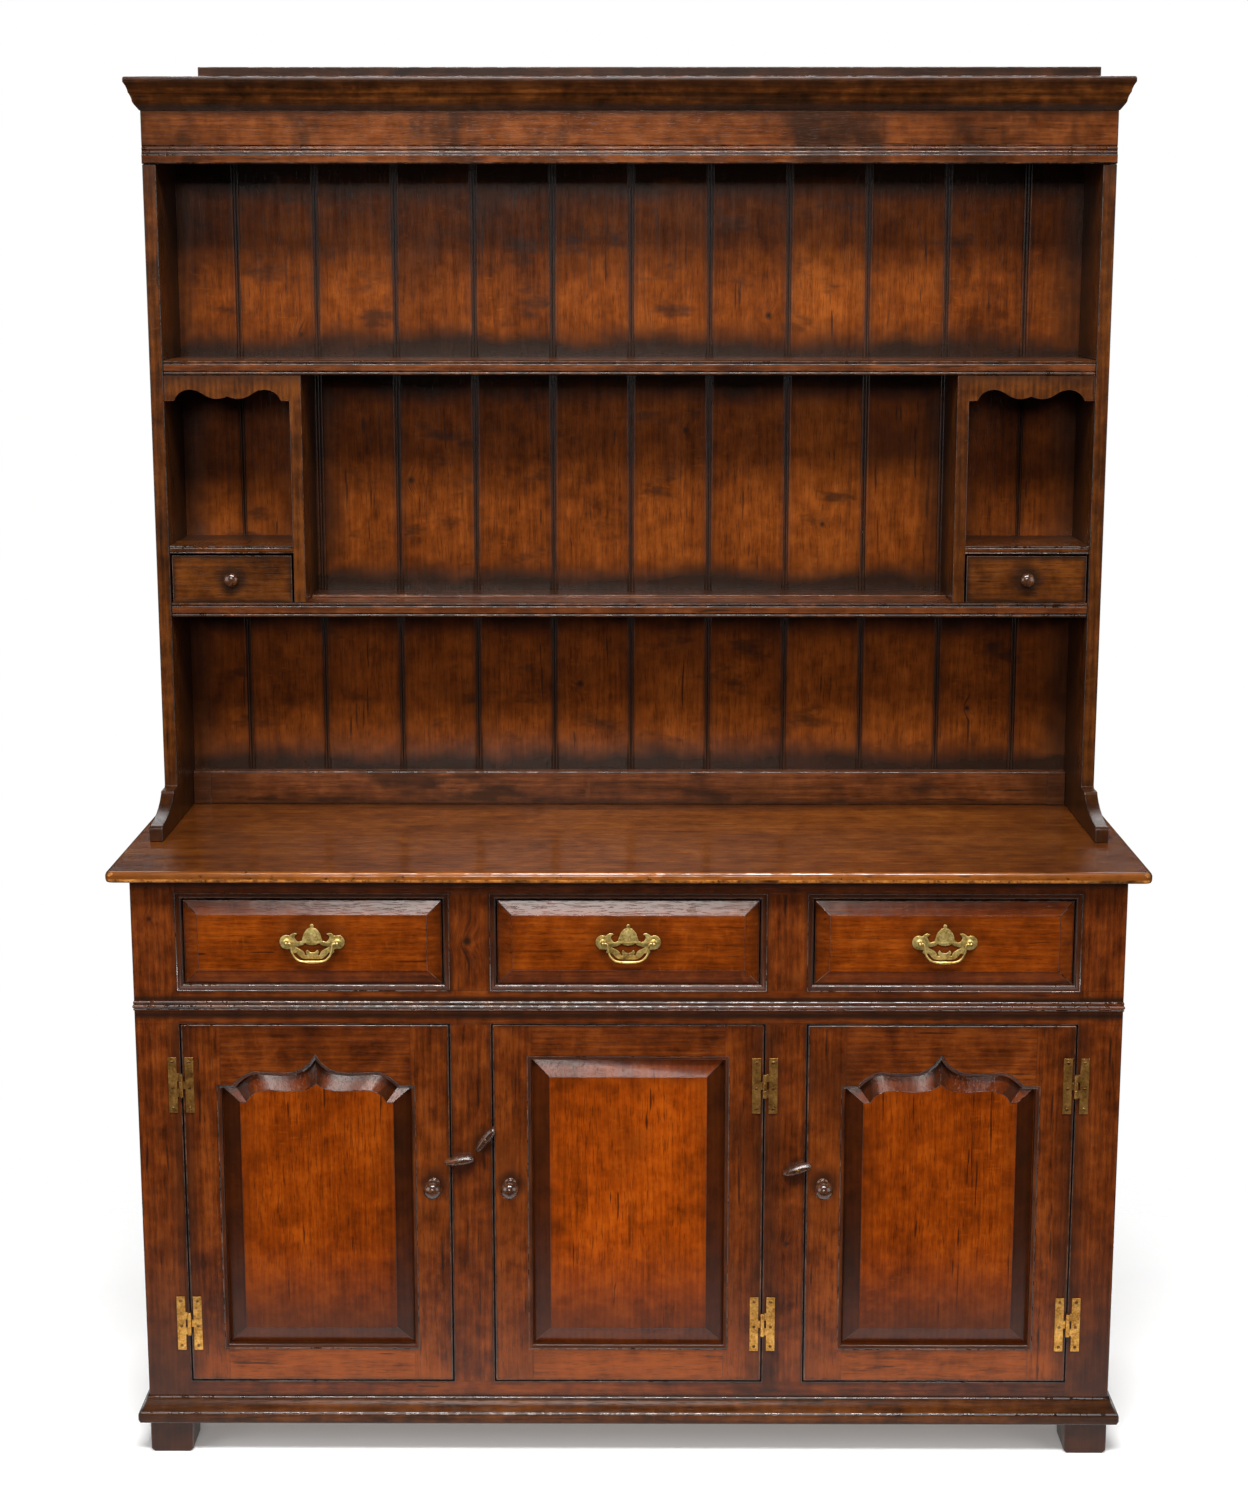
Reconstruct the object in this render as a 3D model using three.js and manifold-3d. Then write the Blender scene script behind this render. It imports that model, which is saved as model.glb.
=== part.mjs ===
// A welsh dresser in old oak: a base with drawers over panelled cupboard doors, and a plate rack with
// two spice boxes that stands on its worktop. Sizes are in millimetres, +Z is up, the front faces -Y,
// and the origin is on the floor under the middle of the whole piece.
import * as THREE from "three";
import { mergeVertices } from "three/addons/utils/BufferGeometryUtils.js";
import Module from "manifold-3d";

const wasm = await Module();
wasm.setup();

// Clearances
const glueGap = 0.3; // between pieces that are glued, nailed or laid on each other
const pinGap = 0.3; // all round a pin or spigot in its hole
const doorGap = 1.5; // round a door in its opening
const drawerSideGap = 1.5;
const drawerTopGap = 2;
const runnerGap = 0.4; // between a drawer and the board that it slides on
const overrun = 5; // how far a cutter passes the wood

// Worktop
const worktopWidth = 1524;
const worktopDepth = 496;
const worktopTop = 923;
const worktopThickness = 17;
const worktopEdgeRound = 6;
const worktopCornerRound = 9;
const sideOverhang = 30;
const frontOverhang = 30;

// Face frame of the base
const frameThickness = 22;
const stileWidth = 66;
const muntinWidth = 61.7;
const middleBayWidth = 406.6;
const topRailHeight = 23;
const drawerBayHeight = 146.5;
const waistRailHeight = 52;
const cupboardFloorTop = 116.5;
const footHeight = 53;
const footBlockDepth = 40;
const footTaper = 1.5;
const footChamfer = 5;
const bayMouldWidth = 8.5; // moulding round each drawer opening
const bayMouldDepth = 7;
const mouldQuirk = 1.2;
const waistMouldHeight = 14.5;
const waistMouldProud = 2.4;
const waistMouldDrop = 31.2; // from the foot of the drawer openings to the foot of the moulding
const plinthHeight = 40;
const plinthProud = 15.5;

// Ends, back and inside of the base
const endThickness = 20;
const endStileWidth = 62;
const endTopRail = 60;
const endMiddleRail = 70;
const endBottomRail = 95;
const endFootDepth = 40;
const endPostWidth = 30;
const endPanelSunk = 9;
const endPanelBevel = 32;
const baseBackThickness = 12;
const backInset = 2;
const backBoardWidth = 162;
const floorThickness = 16;
const shelfBoardThickness = 16;
const cupboardShelfTop = 410;
const cupboardShelfSetback = 60;
const bearerSize = 20;
const deckThickness = 14;
const guideHeight = 20;
const dividerWallThickness = 16;
const kickerHeight = 16;
const kickerWidth = 30;
const kickerGap = 1.5;

// Doors
const doorThickness = 22;
const doorStileWidth = 58;
const doorTopRail = 55;
const doorBottomRail = 58;
const archRise = 44.5; // from the shoulders of an arched panel to its point
const browDrop = 23.5; // from the point down to the brows beside it
const browDip = 2;
const shoulderLength = 20;
const doorMouldWidth = 5;
const doorMouldDepth = 6;
const panelTongue = 6;
const panelEdgeThickness = 6;
const panelEdgeDepth = 11; // from the door's face back to the panel's thin edge
const panelBevel = 26;
const panelFieldDepth = 2.5; // from the door's face back to the raised field
const fieldStep = 1.5;

// H hinges
const leafWidth = 13;
const leafHeight = 86;
const leafThickness = 1.8;
const leafGap = 12; // between the two upright leaves
const knuckleHeight = 36;
const knuckleRadius = 3.3;
const hingePinRadius = 1.5;
const hingeInset = 93; // from a door's top or bottom edge to the middle of its hinge

// Turned knobs
const knobReach = 42;
const knobRadius = 13.4;
const knobFlangeRadius = 9;
const knobNeckRadius = 5.5;
const knobSpigotRadius = 5;
const knobSpigotLength = 13;
const knobEdgeInset = 25;
const knobDrop = 247; // from a door's top edge to its knob
const smallKnobReach = 19;
const smallKnobRadius = 11;
const smallKnobFlangeRadius = 7;
const smallKnobNeckRadius = 4.5;
const smallKnobSpigotRadius = 3.5;
const smallKnobSpigotLength = 8;

// Turn buttons
const buttonHalfLength = 22.5;
const buttonHalfWidth = 6.5;
const buttonThickness = 12.5;
const buttonChamfer = 3.5;
const buttonFaceGap = 0.8;
const buttonPinRadius = 2.4;
const buttonPinHeadRadius = 3.4;
const buttonPinHead = 1.4;
const buttonPinLength = 14;
const buttons = [
  { name: "left_turn_button", side: -1, across: -18.6, drop: 210.4, tilt: 8 },
  { name: "middle_turn_button", side: -1, across: 21.2, drop: 177, tilt: 52 },
  { name: "right_turn_button", side: 1, across: 18.8, drop: 223.7, tilt: 17 },
];

// Drawers of the base
const drawerFrontThickness = 20;
const drawerBevel = 21;
const drawerBevelDepth = 7;
const drawerStep = 1.2;
const drawerSideThickness = 10;
const drawerBottomThickness = 8;
const drawerSideDrop = 5; // from the top of the front to the top of the sides
const drawerBackClearance = 14;

// Drop handles
const postHalfSpacing = 37.5;
const plateThickness = 1.6;
const plateRise = 27.4;
const roundelRadius = 10.5;
const postRadius = 4;
const postHeadRadius = 4.6;
const postHeadLength = 9;
const postReach = 13.5;
const postShankRadius = 2.5;
const bailRadius = 1.7;
const bailDrop = 28.3;
const bailInset = 7.7;
const bailBend = 5;
const handleRise = 2; // of the posts above the middle of the drawer front

// Plate rack
const rackHeight = 1140.5;
const rackDepth = 171.5;
const rackSideThickness = 20.5;
const backBoardThickness = 12;
const rackBoardWidth = 124.2;
const rackBoardShift = 3; // of the board joints to the right
const boardBead = 3.6;
const boardQuirk = 1.1;
const boardQuirkDepth = 2;
const boardRebate = 7;
const dadoDepth = 6;
const dadoStop = 9;
const shelfThickness = 22.5;
const upperShelfTop = 1646;
const lowerShelfTop = 1273.5;
const shelfBead = 4.2;
const shelfQuirk = 1.4;
const edgeEase = 1;
const plateStripSetback = 66;
const plateStripWidth = 5;
const plateStripHeight = 4;
const rackTopThickness = 18;
const battenHeight = 26.5;
const battenThickness = 18;
const battenLeftInset = 62;
const battenRightInset = 1;
const friezeThickness = 18;
const friezeHeight = 126.2;
const friezeLipHeight = 15;
const friezeLipProud = 3;
const friezeBead = 4.6;
const friezeStep = 1.4;
const corniceHeight = 48.5;
const corniceProud = 21;
const bracketReach = 134;
const bracketNoseHeight = 25;
const bracketNoseRound = 7;
const bracketEarReach = 33;
const bracketEarHeight = 58;
const bracketEarRound = 4;
const bracketFillet = 3;
const footRailHeight = 55;
const footRailThickness = 18.5;
const footRailBlockWidth = 29;
const footRailBlockProud = 2.5;

// Spice boxes
const spiceBoxWidth = 191.5;
const spiceDividerThickness = 18;
const spiceSetback = 2;
const spiceShelfThickness = 12.5;
const spiceShelfRise = 88.5; // from the lower shelf to the top of the small shelf
const spiceApronThickness = 12;
const spiceApronDrop = 39;
const spiceApronArch = 17;
const spiceApronCusp = 7;
const spiceApronLobe = 3;
const spiceDrawerTopGap = 3;
const spiceDrawerSideGap = 3;
const spiceFrontThickness = 12;
const spiceSideThickness = 7;
const spiceBottomThickness = 5;
const spiceBackClearance = 6;

// Colours
const oakColour = 0x5a2d12;
const oakDarkColour = 0x3c1e0e;
const brassColour = 0xb08a45;

// Places that follow from the sizes
const halfBase = worktopWidth / 2 - sideOverhang;
const overallDepth = worktopDepth + knobReach - frontOverhang;
const backY = overallDepth / 2;
const worktopFrontY = backY - worktopDepth;
const faceY = worktopFrontY + frontOverhang;
const insideFrontY = faceY + frameThickness + glueGap;
const carcassTop = worktopTop - worktopThickness - glueGap;
const drawerBayTop = carcassTop - topRailHeight;
const drawerBayBottom = drawerBayTop - drawerBayHeight;
const doorBayTop = drawerBayBottom - waistRailHeight;
const waistMouldBottom = drawerBayBottom - waistMouldDrop;
const endInnerX = halfBase - endThickness;
const baseBackFrontY = backY - backInset - baseBackThickness;
const runTop = drawerBayBottom + bayMouldWidth;
const doorHeight = doorBayTop - cupboardFloorTop - 2 * doorGap;
const hingeAxisY = -glueGap - knuckleRadius;
const drawerFrontBottom = runTop + runnerGap;
const drawerFrontHeight = drawerBayHeight - 2 * bayMouldWidth - runnerGap - drawerTopGap;
const pivotReach = postReach - postHeadLength / 2;

const rackFrontY = backY - rackDepth;
const rackInnerX = halfBase - rackSideThickness;
const boardsFrontY = backY - backInset - backBoardThickness;
const rackFootZ = worktopTop + glueGap;
const corniceTop = worktopTop + rackHeight;
const friezeBottom = corniceTop - friezeHeight;
const rackSideTop = corniceTop - rackTopThickness - glueGap;
const spiceFrontY = rackFrontY + spiceSetback;
const spiceShelfTop = lowerShelfTop + spiceShelfRise;
const spiceBayHeight = spiceShelfRise - spiceShelfThickness;

// The three bays of the base, from left to right
const bays = [
  { name: "left", low: stileWidth - halfBase, high: -middleBayWidth / 2 - muntinWidth },
  { name: "middle", low: -middleBayWidth / 2, high: middleBayWidth / 2 },
  { name: "right", low: middleBayWidth / 2 + muntinWidth, high: halfBase - stileWidth },
];

// A solid from loose triangles, with its faces turned outwards
function solidFrom(positions, index) {
  const make = (triangles) =>
    new wasm.Manifold(
      new wasm.Mesh({
        numProp: 3,
        vertProperties: new Float32Array(positions),
        triVerts: new Uint32Array(triangles),
      }),
    );
  const made = make(index);
  return made.volume() < 0 ? make([...index].reverse()) : made;
}

// A solid from a closed three.js geometry
function solidOf(geometry) {
  const bare = geometry.index ? geometry.toNonIndexed() : geometry.clone();
  bare.deleteAttribute("normal");
  bare.deleteAttribute("uv");
  const merged = mergeVertices(bare);
  return solidFrom(merged.attributes.position.array, merged.index.array);
}

// A three.js geometry with flat faces from a solid
function geometryOf(solid) {
  const mesh = solid.getMesh();
  const geometry = new THREE.BufferGeometry();
  const positions = new Float32Array(mesh.numVert * 3);
  for (let i = 0; i < mesh.numVert; i += 1) {
    const at = i * mesh.numProp;
    positions.set(mesh.vertProperties.subarray(at, at + 3), i * 3);
  }
  geometry.setAttribute("position", new THREE.BufferAttribute(positions, 3));
  geometry.setIndex(new THREE.BufferAttribute(mesh.triVerts, 1));
  const flat = geometry.toNonIndexed();
  flat.computeVertexNormals();
  return flat;
}

function union(solids) {
  return solids.reduce((whole, next) => whole.add(next));
}

function subtractAll(solid, cutters) {
  return cutters.reduce((whole, cutter) => whole.subtract(cutter), solid);
}

// A block between two corners, given as ranges along X, Y and Z
function block(x, y, z) {
  const [sizeX, sizeY, sizeZ] = [x, y, z].map(([low, high]) => Math.abs(high - low));
  const geometry = new THREE.BoxGeometry(sizeX, sizeY, sizeZ);
  geometry.translate((x[0] + x[1]) / 2, (y[0] + y[1]) / 2, (z[0] + z[1]) / 2);
  return solidOf(geometry);
}

const outlineOf = (points) => points.map(([a, b]) => new THREE.Vector2(a, b));

// Each prism pushes a flat outline along one axis: (y, z) along X, (x, z) along Y, (x, y) along Z
const prismFrames = {
  x: [new THREE.Vector3(0, 1, 0), new THREE.Vector3(0, 0, 1), new THREE.Vector3(1, 0, 0)],
  y: [new THREE.Vector3(1, 0, 0), new THREE.Vector3(0, 0, 1), new THREE.Vector3(0, -1, 0)],
  z: [new THREE.Vector3(1, 0, 0), new THREE.Vector3(0, 1, 0), new THREE.Vector3(0, 0, 1)],
};

function prism(axis, points, from, to, holes = []) {
  const shape = new THREE.Shape(outlineOf(points));
  shape.holes = holes.map((hole) => new THREE.Path(outlineOf(hole)));
  const [low, high] = [Math.min(from, to), Math.max(from, to)];
  const geometry = new THREE.ExtrudeGeometry(shape, { depth: high - low, bevelEnabled: false });
  const [u, v, w] = prismFrames[axis];
  geometry.applyMatrix4(new THREE.Matrix4().makeBasis(u, v, w));
  const start = w.clone().multiplyScalar(axis === "y" ? -high : low);
  geometry.translate(start.x, start.y, start.z);
  return solidOf(geometry);
}

const capTriangles = (contour) => {
  const turned = THREE.ShapeUtils.area(contour) < 0;
  return THREE.ShapeUtils.triangulateShape(contour, []).map(([a, b, c]) => {
    const flipped = THREE.ShapeUtils.area([contour[a], contour[b], contour[c]]) < 0;
    return flipped === turned ? [a, b, c] : [c, b, a];
  });
};

// A skin over equal rings of points, closed by a cap at each end. The contours are the end rings, flat.
function loft(rings, firstContour, lastContour) {
  const count = rings[0].length;
  const positions = rings.flat().flatMap((point) => [point.x, point.y, point.z]);
  const index = [];
  for (let ring = 0; ring < rings.length - 1; ring += 1)
    for (let i = 0; i < count; i += 1) {
      const a = ring * count + i;
      const b = ring * count + ((i + 1) % count);
      index.push(a, b, b + count, a, b + count, a + count);
    }
  capTriangles(firstContour).forEach(([a, b, c]) => index.push(c, b, a));
  const last = (rings.length - 1) * count;
  capTriangles(lastContour).forEach(([a, b, c]) => index.push(last + a, last + b, last + c));
  return solidFrom(positions, index);
}

// A loft whose rings are one outline at several insets, each pushed to its own depth by place(u, v, w)
function layers(place, outlineAt, steps) {
  const outlines = steps.map(([inset]) => outlineAt(inset));
  const rings = outlines.map((outline, i) => outline.map(([u, v]) => place(u, v, steps[i][1])));
  return loft(rings, outlineOf(outlines[0]), outlineOf(outlines.at(-1)));
}

const rectangle = (low, high, bottom, top) => (inset) => [
  [low + inset, bottom + inset],
  [high - inset, bottom + inset],
  [high - inset, top - inset],
  [low + inset, top - inset],
];

// A round bar along Y, from a front to a back
function barAlongY(radius, from, to, x = 0, z = 0, sides = 12) {
  const geometry = new THREE.CylinderGeometry(radius, radius, Math.abs(to - from), sides);
  geometry.translate(x, (from + to) / 2, z);
  return solidOf(geometry);
}

function barAlongZ(radius, from, to, y, sides = 12) {
  const geometry = new THREE.CylinderGeometry(radius, radius, Math.abs(to - from), sides);
  geometry.rotateX(Math.PI / 2);
  geometry.translate(0, y, (from + to) / 2);
  return solidOf(geometry);
}

function barAlongX(radius, from, to, y, sides = 10) {
  const geometry = new THREE.CylinderGeometry(radius, radius, Math.abs(to - from), sides);
  geometry.rotateZ(Math.PI / 2);
  geometry.translate((from + to) / 2, y, 0);
  return solidOf(geometry);
}

// The quarter round that softens the edge of an opening: steps of inset and depth for layers
const ovoloTurns = 3;
function ovolo(width, depth) {
  return Array.from({ length: ovoloTurns + 1 }, (_, i) => {
    const angle = (Math.PI / 2) * (i / ovoloTurns);
    const inset = width * (Math.sin(angle) - 1);
    return [inset, mouldQuirk + (depth - mouldQuirk) * (1 - Math.cos(angle))];
  });
}

// Cuts an opening through wood of the given thickness, with a quarter round at its front edge
function openingCutter(place, outlineAt, width, depth, thickness) {
  return layers(place, outlineAt, [
    [-width, -overrun],
    ...ovolo(width, depth),
    [0, thickness + overrun],
  ]);
}

// A moulding that runs back along both sides of a carcass from its front, mitred at the corners
function wrapMoulding(profile, halfWidth, frontY, endY) {
  const corners = [
    ([proud, z]) => new THREE.Vector3(-halfWidth - proud, endY, z),
    ([proud, z]) => new THREE.Vector3(-halfWidth - proud, frontY - proud, z),
    ([proud, z]) => new THREE.Vector3(halfWidth + proud, frontY - proud, z),
    ([proud, z]) => new THREE.Vector3(halfWidth + proud, endY, z),
  ];
  const contour = outlineOf(profile);
  return loft(
    corners.map((corner) => profile.map(corner)),
    contour,
    contour,
  );
}

// A profile in shares of how far it stands proud and how tall it is, set at a height
function profileFrom(shares, proud, height, bottom) {
  return shares.map(([out, up]) => [Math.max(out * proud, glueGap), bottom + up * height]);
}

// Materials, one for each mesh
function wood(colour) {
  return new THREE.MeshStandardMaterial({ color: colour, roughness: 0.42, metalness: 0 });
}

function brass() {
  return new THREE.MeshStandardMaterial({ color: brassColour, roughness: 0.35, metalness: 1 });
}

function addMesh(group, name, solid, material) {
  const mesh = new THREE.Mesh(geometryOf(solid), material);
  mesh.name = name;
  group.add(mesh);
  return mesh;
}

const dresser = new THREE.Group();

function groupAt(parent, x, y, z) {
  const group = new THREE.Group();
  group.position.set(x, y, z);
  parent.add(group);
  return group;
}

// Worktop: a board with a rounded front and ends
const cornerTurns = 3;
function worktopOutline(inset) {
  const x = worktopWidth / 2 - inset;
  const front = worktopFrontY + inset;
  const radius = worktopCornerRound;
  const arc = Array.from({ length: cornerTurns + 1 }, (_, i) => (Math.PI / 2) * (i / cornerTurns));
  const right = arc.map((angle) => [
    x - radius * (1 - Math.sin(angle)),
    front + radius * (1 - Math.cos(angle)),
  ]);
  const left = right.map(([px, py]) => [-px, py]).reverse();
  return [...left, ...right, [x, backY], [-x, backY]];
}

function worktop() {
  const round = worktopEdgeRound;
  const bottom = worktopTop - worktopThickness;
  const place = (u, v, w) => new THREE.Vector3(u, v, w);
  const steps = [
    [round / 2, bottom],
    [0, bottom + round / 2],
    [0, worktopTop - round],
    [round * (1 - Math.cos(Math.PI / 6)), worktopTop - round / 2],
    [round * (1 - Math.cos(Math.PI / 3)), worktopTop - round * (1 - Math.sin(Math.PI / 3))],
    [round, worktopTop],
  ];
  return layers(place, worktopOutline, steps);
}

addMesh(dresser, "worktop", worktop(), wood(oakColour));

// Waist moulding: its front belongs to the face frame and its returns to the ends
const waistShares = [
  [0, 0],
  [0.55, 0.02],
  [0.6, 0.13],
  [0.2, 0.18],
  [0.8, 0.25],
  [1, 0.38],
  [0.9, 0.52],
  [0.2, 0.6],
  [0.5, 0.66],
  [0.5, 0.93],
  [0, 1],
];

function waistMoulding() {
  const height = waistMouldHeight;
  const profile = waistShares.map(([out, up]) => [
    out * waistMouldProud - (out ? 0 : glueGap),
    waistMouldBottom + up * height,
  ]);
  return wrapMoulding(profile, halfBase, faceY, backY);
}

// Face frame of the base: stiles that run down as feet, rails and muntins round the six openings.
// The feet taper a little on the inside and are chamfered at their bottom corners.
const innerFootEdge = [
  [halfBase - stileWidth, footHeight],
  [halfBase - stileWidth + footTaper, footChamfer],
  [halfBase - stileWidth + footTaper + footChamfer, 0],
];
const outerFootEdge = [
  [halfBase - footChamfer, 0],
  [halfBase, footChamfer],
];

function faceFrameOutline() {
  const right = [...innerFootEdge, ...outerFootEdge, [halfBase, carcassTop]];
  const left = right.map(([x, z]) => [-x, z]);
  return [...right, ...left.reverse()];
}

const onFace = (u, v, w) => new THREE.Vector3(u, faceY + w, v);

function drawerOpening(bay) {
  const sight = rectangle(
    bay.low + bayMouldWidth,
    bay.high - bayMouldWidth,
    runTop,
    drawerBayTop - bayMouldWidth,
  );
  return openingCutter(onFace, sight, bayMouldWidth, bayMouldDepth, frameThickness);
}

function doorOpening(bay) {
  return block(
    [bay.low, bay.high],
    [faceY - overrun, faceY + frameThickness + overrun],
    [cupboardFloorTop, doorBayTop],
  );
}

// Where a turn button's pin enters the muntin on its side of the middle bay
function buttonPlace(button) {
  const muntinMiddle = (button.side * (middleBayWidth + muntinWidth)) / 2;
  return { x: muntinMiddle + button.across, z: doorBayTop - button.drop };
}

function footBlock(side) {
  const top = cupboardFloorTop - floorThickness - glueGap;
  const outer = endInnerX - glueGap;
  const outline = [[halfBase - stileWidth, top], ...innerFootEdge, [outer, 0], [outer, top]];
  const from = faceY + frameThickness - glueGap;
  const turned = outline.map(([x, z]) => [side * x, z]);
  return prism("y", turned, from, from + footBlockDepth);
}

function faceFrame() {
  const board = prism("y", faceFrameOutline(), faceY, faceY + frameThickness);
  const front = block(
    [-worktopWidth / 2, worktopWidth / 2],
    [worktopFrontY, faceY + frameThickness],
    [0, carcassTop],
  );
  const moulded = board.add(waistMoulding().intersect(front));
  const openings = bays.flatMap((bay) => [drawerOpening(bay), doorOpening(bay)]);
  const pinHoles = buttons.map((button) => {
    const { x, z } = buttonPlace(button);
    return barAlongY(buttonPinRadius + pinGap, faceY - overrun, faceY + buttonPinLength + pinGap, x, z);
  });
  return union([subtractAll(moulded, [...openings, ...pinHoles]), footBlock(-1), footBlock(1)]);
}

addMesh(dresser, "face_frame", faceFrame(), wood(oakColour));

// Plinth moulding round the foot of the base
const plinthShares = [
  [0, 0],
  [0.86, 0],
  [0.92, 0.08],
  [1, 0.16],
  [1, 0.34],
  [0.93, 0.44],
  [0.8, 0.47],
  [0.74, 0.52],
  [0.6, 0.6],
  [0.46, 0.7],
  [0.34, 0.8],
  [0.27, 0.88],
  [0.24, 0.93],
  [0.2, 0.98],
  [0, 1],
];

function plinth() {
  const profile = profileFrom(plinthShares, plinthProud, plinthHeight, footHeight);
  return wrapMoulding(profile, halfBase, faceY, backY);
}

addMesh(dresser, "plinth_moulding", plinth(), wood(oakColour));

// Ends: panelled frames whose stiles run down as feet
function endOutline() {
  return [
    [insideFrontY, 0],
    [insideFrontY + endFootDepth, 0],
    [insideFrontY + endFootDepth, footHeight],
    [backY - endFootDepth, footHeight],
    [backY - endFootDepth, 0],
    [backY, 0],
    [backY, carcassTop],
    [insideFrontY, carcassTop],
  ];
}

function endPanels(side) {
  const place = (u, v, w) => new THREE.Vector3(side * (halfBase - w), u, v);
  const low = insideFrontY + endStileWidth;
  const high = backY - endStileWidth;
  const middle = waistMouldBottom + waistMouldHeight / 2;
  const sights = [
    rectangle(low, high, middle + endMiddleRail / 2, carcassTop - endTopRail),
    rectangle(low, high, footHeight + plinthHeight + endBottomRail, middle - endMiddleRail / 2),
  ];
  return sights.map((sight) => ({
    recess: layers(place, sight, [
      [-doorMouldWidth, -overrun],
      ...ovolo(doorMouldWidth, doorMouldDepth),
      [0, endPanelSunk],
    ]),
    field: layers(place, sight, [
      [0, endPanelSunk + fieldStep],
      [0, endPanelSunk],
      [endPanelBevel, panelFieldDepth + fieldStep],
      [endPanelBevel, panelFieldDepth],
    ]),
  }));
}

function endBearers(side) {
  const x = [side * (endInnerX + fieldStep), side * (endInnerX - bearerSize)];
  const top = cupboardShelfTop - shelfBoardThickness - glueGap;
  const y = [insideFrontY + cupboardShelfSetback, baseBackFrontY - glueGap];
  const post = block(
    [x[0], side * (endInnerX - endPostWidth)],
    [backY - endFootDepth, backY],
    [0, footHeight],
  );
  return [block(x, y, [top - bearerSize, top]), post];
}

function endReturn(side) {
  const region = block(
    [side * (halfBase - glueGap * 2), side * (worktopWidth / 2)],
    [insideFrontY, backY],
    [0, carcassTop],
  );
  return waistMoulding().intersect(region);
}

function baseEnd(side) {
  const board = prism("x", endOutline(), side * endInnerX, side * halfBase);
  const panels = endPanels(side);
  const sunk = subtractAll(
    board,
    panels.map((panel) => panel.recess),
  );
  const moulding = endReturn(side);
  const corner = [[halfBase + overrun, -overrun], ...outerFootEdge].map(([x, z]) => [side * x, z]);
  const whole = union([sunk, ...panels.map((panel) => panel.field), ...endBearers(side), moulding]);
  return whole.subtract(prism("y", corner, insideFrontY - overrun, backY + overrun));
}

addMesh(dresser, "left_end", baseEnd(-1), wood(oakColour));
addMesh(dresser, "right_end", baseEnd(1), wood(oakColour));

// A wall of upright boards, as an outline in X and Y. Each joint has a pair of beads on its front and
// a plain groove behind.
function boardWall(halfWidth, pitch, shift, frontY, rearY, beaded) {
  const joints = Math.ceil(halfWidth / pitch) - 1;
  const front = [[-halfWidth, frontY]];
  const rear = [[-halfWidth, rearY]];
  for (let i = -joints; i <= joints; i += 1) {
    const x = shift + i * pitch;
    rear.push([x - boardQuirk, rearY], [x, rearY - boardQuirk], [x + boardQuirk, rearY]);
    if (beaded)
      [-1, 1].forEach((side) => {
        const middle = x + side * (boardBead + boardQuirk);
        const quirk = [
          [middle - boardQuirk, frontY],
          [middle, frontY + boardQuirkDepth],
          [middle + boardQuirk, frontY],
        ];
        front.push(...quirk);
        if (side < 0) front.push([x - boardQuirk, frontY], [x, frontY + boardQuirkDepth]);
        if (side < 0) front.push([x + boardQuirk, frontY]);
      });
    else front.push([x - boardQuirk, frontY], [x, frontY + boardQuirk], [x + boardQuirk, frontY]);
  }
  front.push([halfWidth, frontY]);
  rear.push([halfWidth, rearY]);
  return [...front, ...rear.reverse()];
}

function baseBack() {
  const outline = boardWall(
    endInnerX - glueGap,
    backBoardWidth,
    0,
    baseBackFrontY,
    baseBackFrontY + baseBackThickness,
    false,
  );
  return prism("z", outline, footHeight + plinthHeight / 2, carcassTop);
}

addMesh(dresser, "base_back", baseBack(), wood(oakDarkColour));

// Boards inside the base
function insideBoard(frontY, bottom, top) {
  const x = endInnerX - glueGap;
  return block([-x, x], [frontY, baseBackFrontY - glueGap], [bottom, top]);
}

const baseFloor = insideBoard(insideFrontY, cupboardFloorTop - floorThickness, cupboardFloorTop);
addMesh(dresser, "base_floor", baseFloor, wood(oakDarkColour));

const cupboardShelf = insideBoard(
  insideFrontY + cupboardShelfSetback,
  cupboardShelfTop - shelfBoardThickness,
  cupboardShelfTop,
);
addMesh(dresser, "cupboard_shelf", cupboardShelf, wood(oakDarkColour));

// Drawer frame: the board that the drawers slide on, the walls and guides between them, and the
// kickers that stop them from tipping
function drawerFrame() {
  const y = [insideFrontY, baseBackFrontY - glueGap];
  const kickerBottom = drawerFrontBottom + drawerFrontHeight - drawerSideDrop + kickerGap;
  const between = [-1, 1].flatMap((side) => {
    const middle = side * (middleBayWidth + muntinWidth) * 0.5;
    const half = muntinWidth / 2 + bayMouldWidth;
    const wall = [middle - dividerWallThickness / 2, middle + dividerWallThickness / 2];
    return [
      block(wall, y, [runTop - glueGap, carcassTop]),
      block([middle - half, middle + half], y, [runTop - glueGap, runTop + guideHeight]),
      block(
        [middle - half - kickerWidth, middle + half + kickerWidth],
        y,
        [kickerBottom, kickerBottom + kickerHeight],
      ),
    ];
  });
  const beside = [-1, 1].flatMap((side) => {
    const outer = side * (endInnerX - glueGap);
    const inner = side * (halfBase - stileWidth - bayMouldWidth);
    const wall = [outer, outer - side * dividerWallThickness];
    return [
      block(wall, y, [runTop - glueGap, carcassTop]),
      block([outer, inner], y, [runTop - glueGap, runTop + guideHeight]),
      block([outer, inner - side * kickerWidth], y, [kickerBottom, kickerBottom + kickerHeight]),
    ];
  });
  return union([insideBoard(insideFrontY, runTop - deckThickness, runTop), ...between, ...beside]);
}

addMesh(dresser, "drawer_frame", drawerFrame(), wood(oakDarkColour));

// A turned knob whose spigot sits in a hole behind the face
const knobTurns = 14;
const knobHeadShares = [
  [0.6, 0.5],
  [0.93, 0.6],
  [1, 0.73],
  [0.9, 0.87],
  [0.55, 0.97],
];

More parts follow.
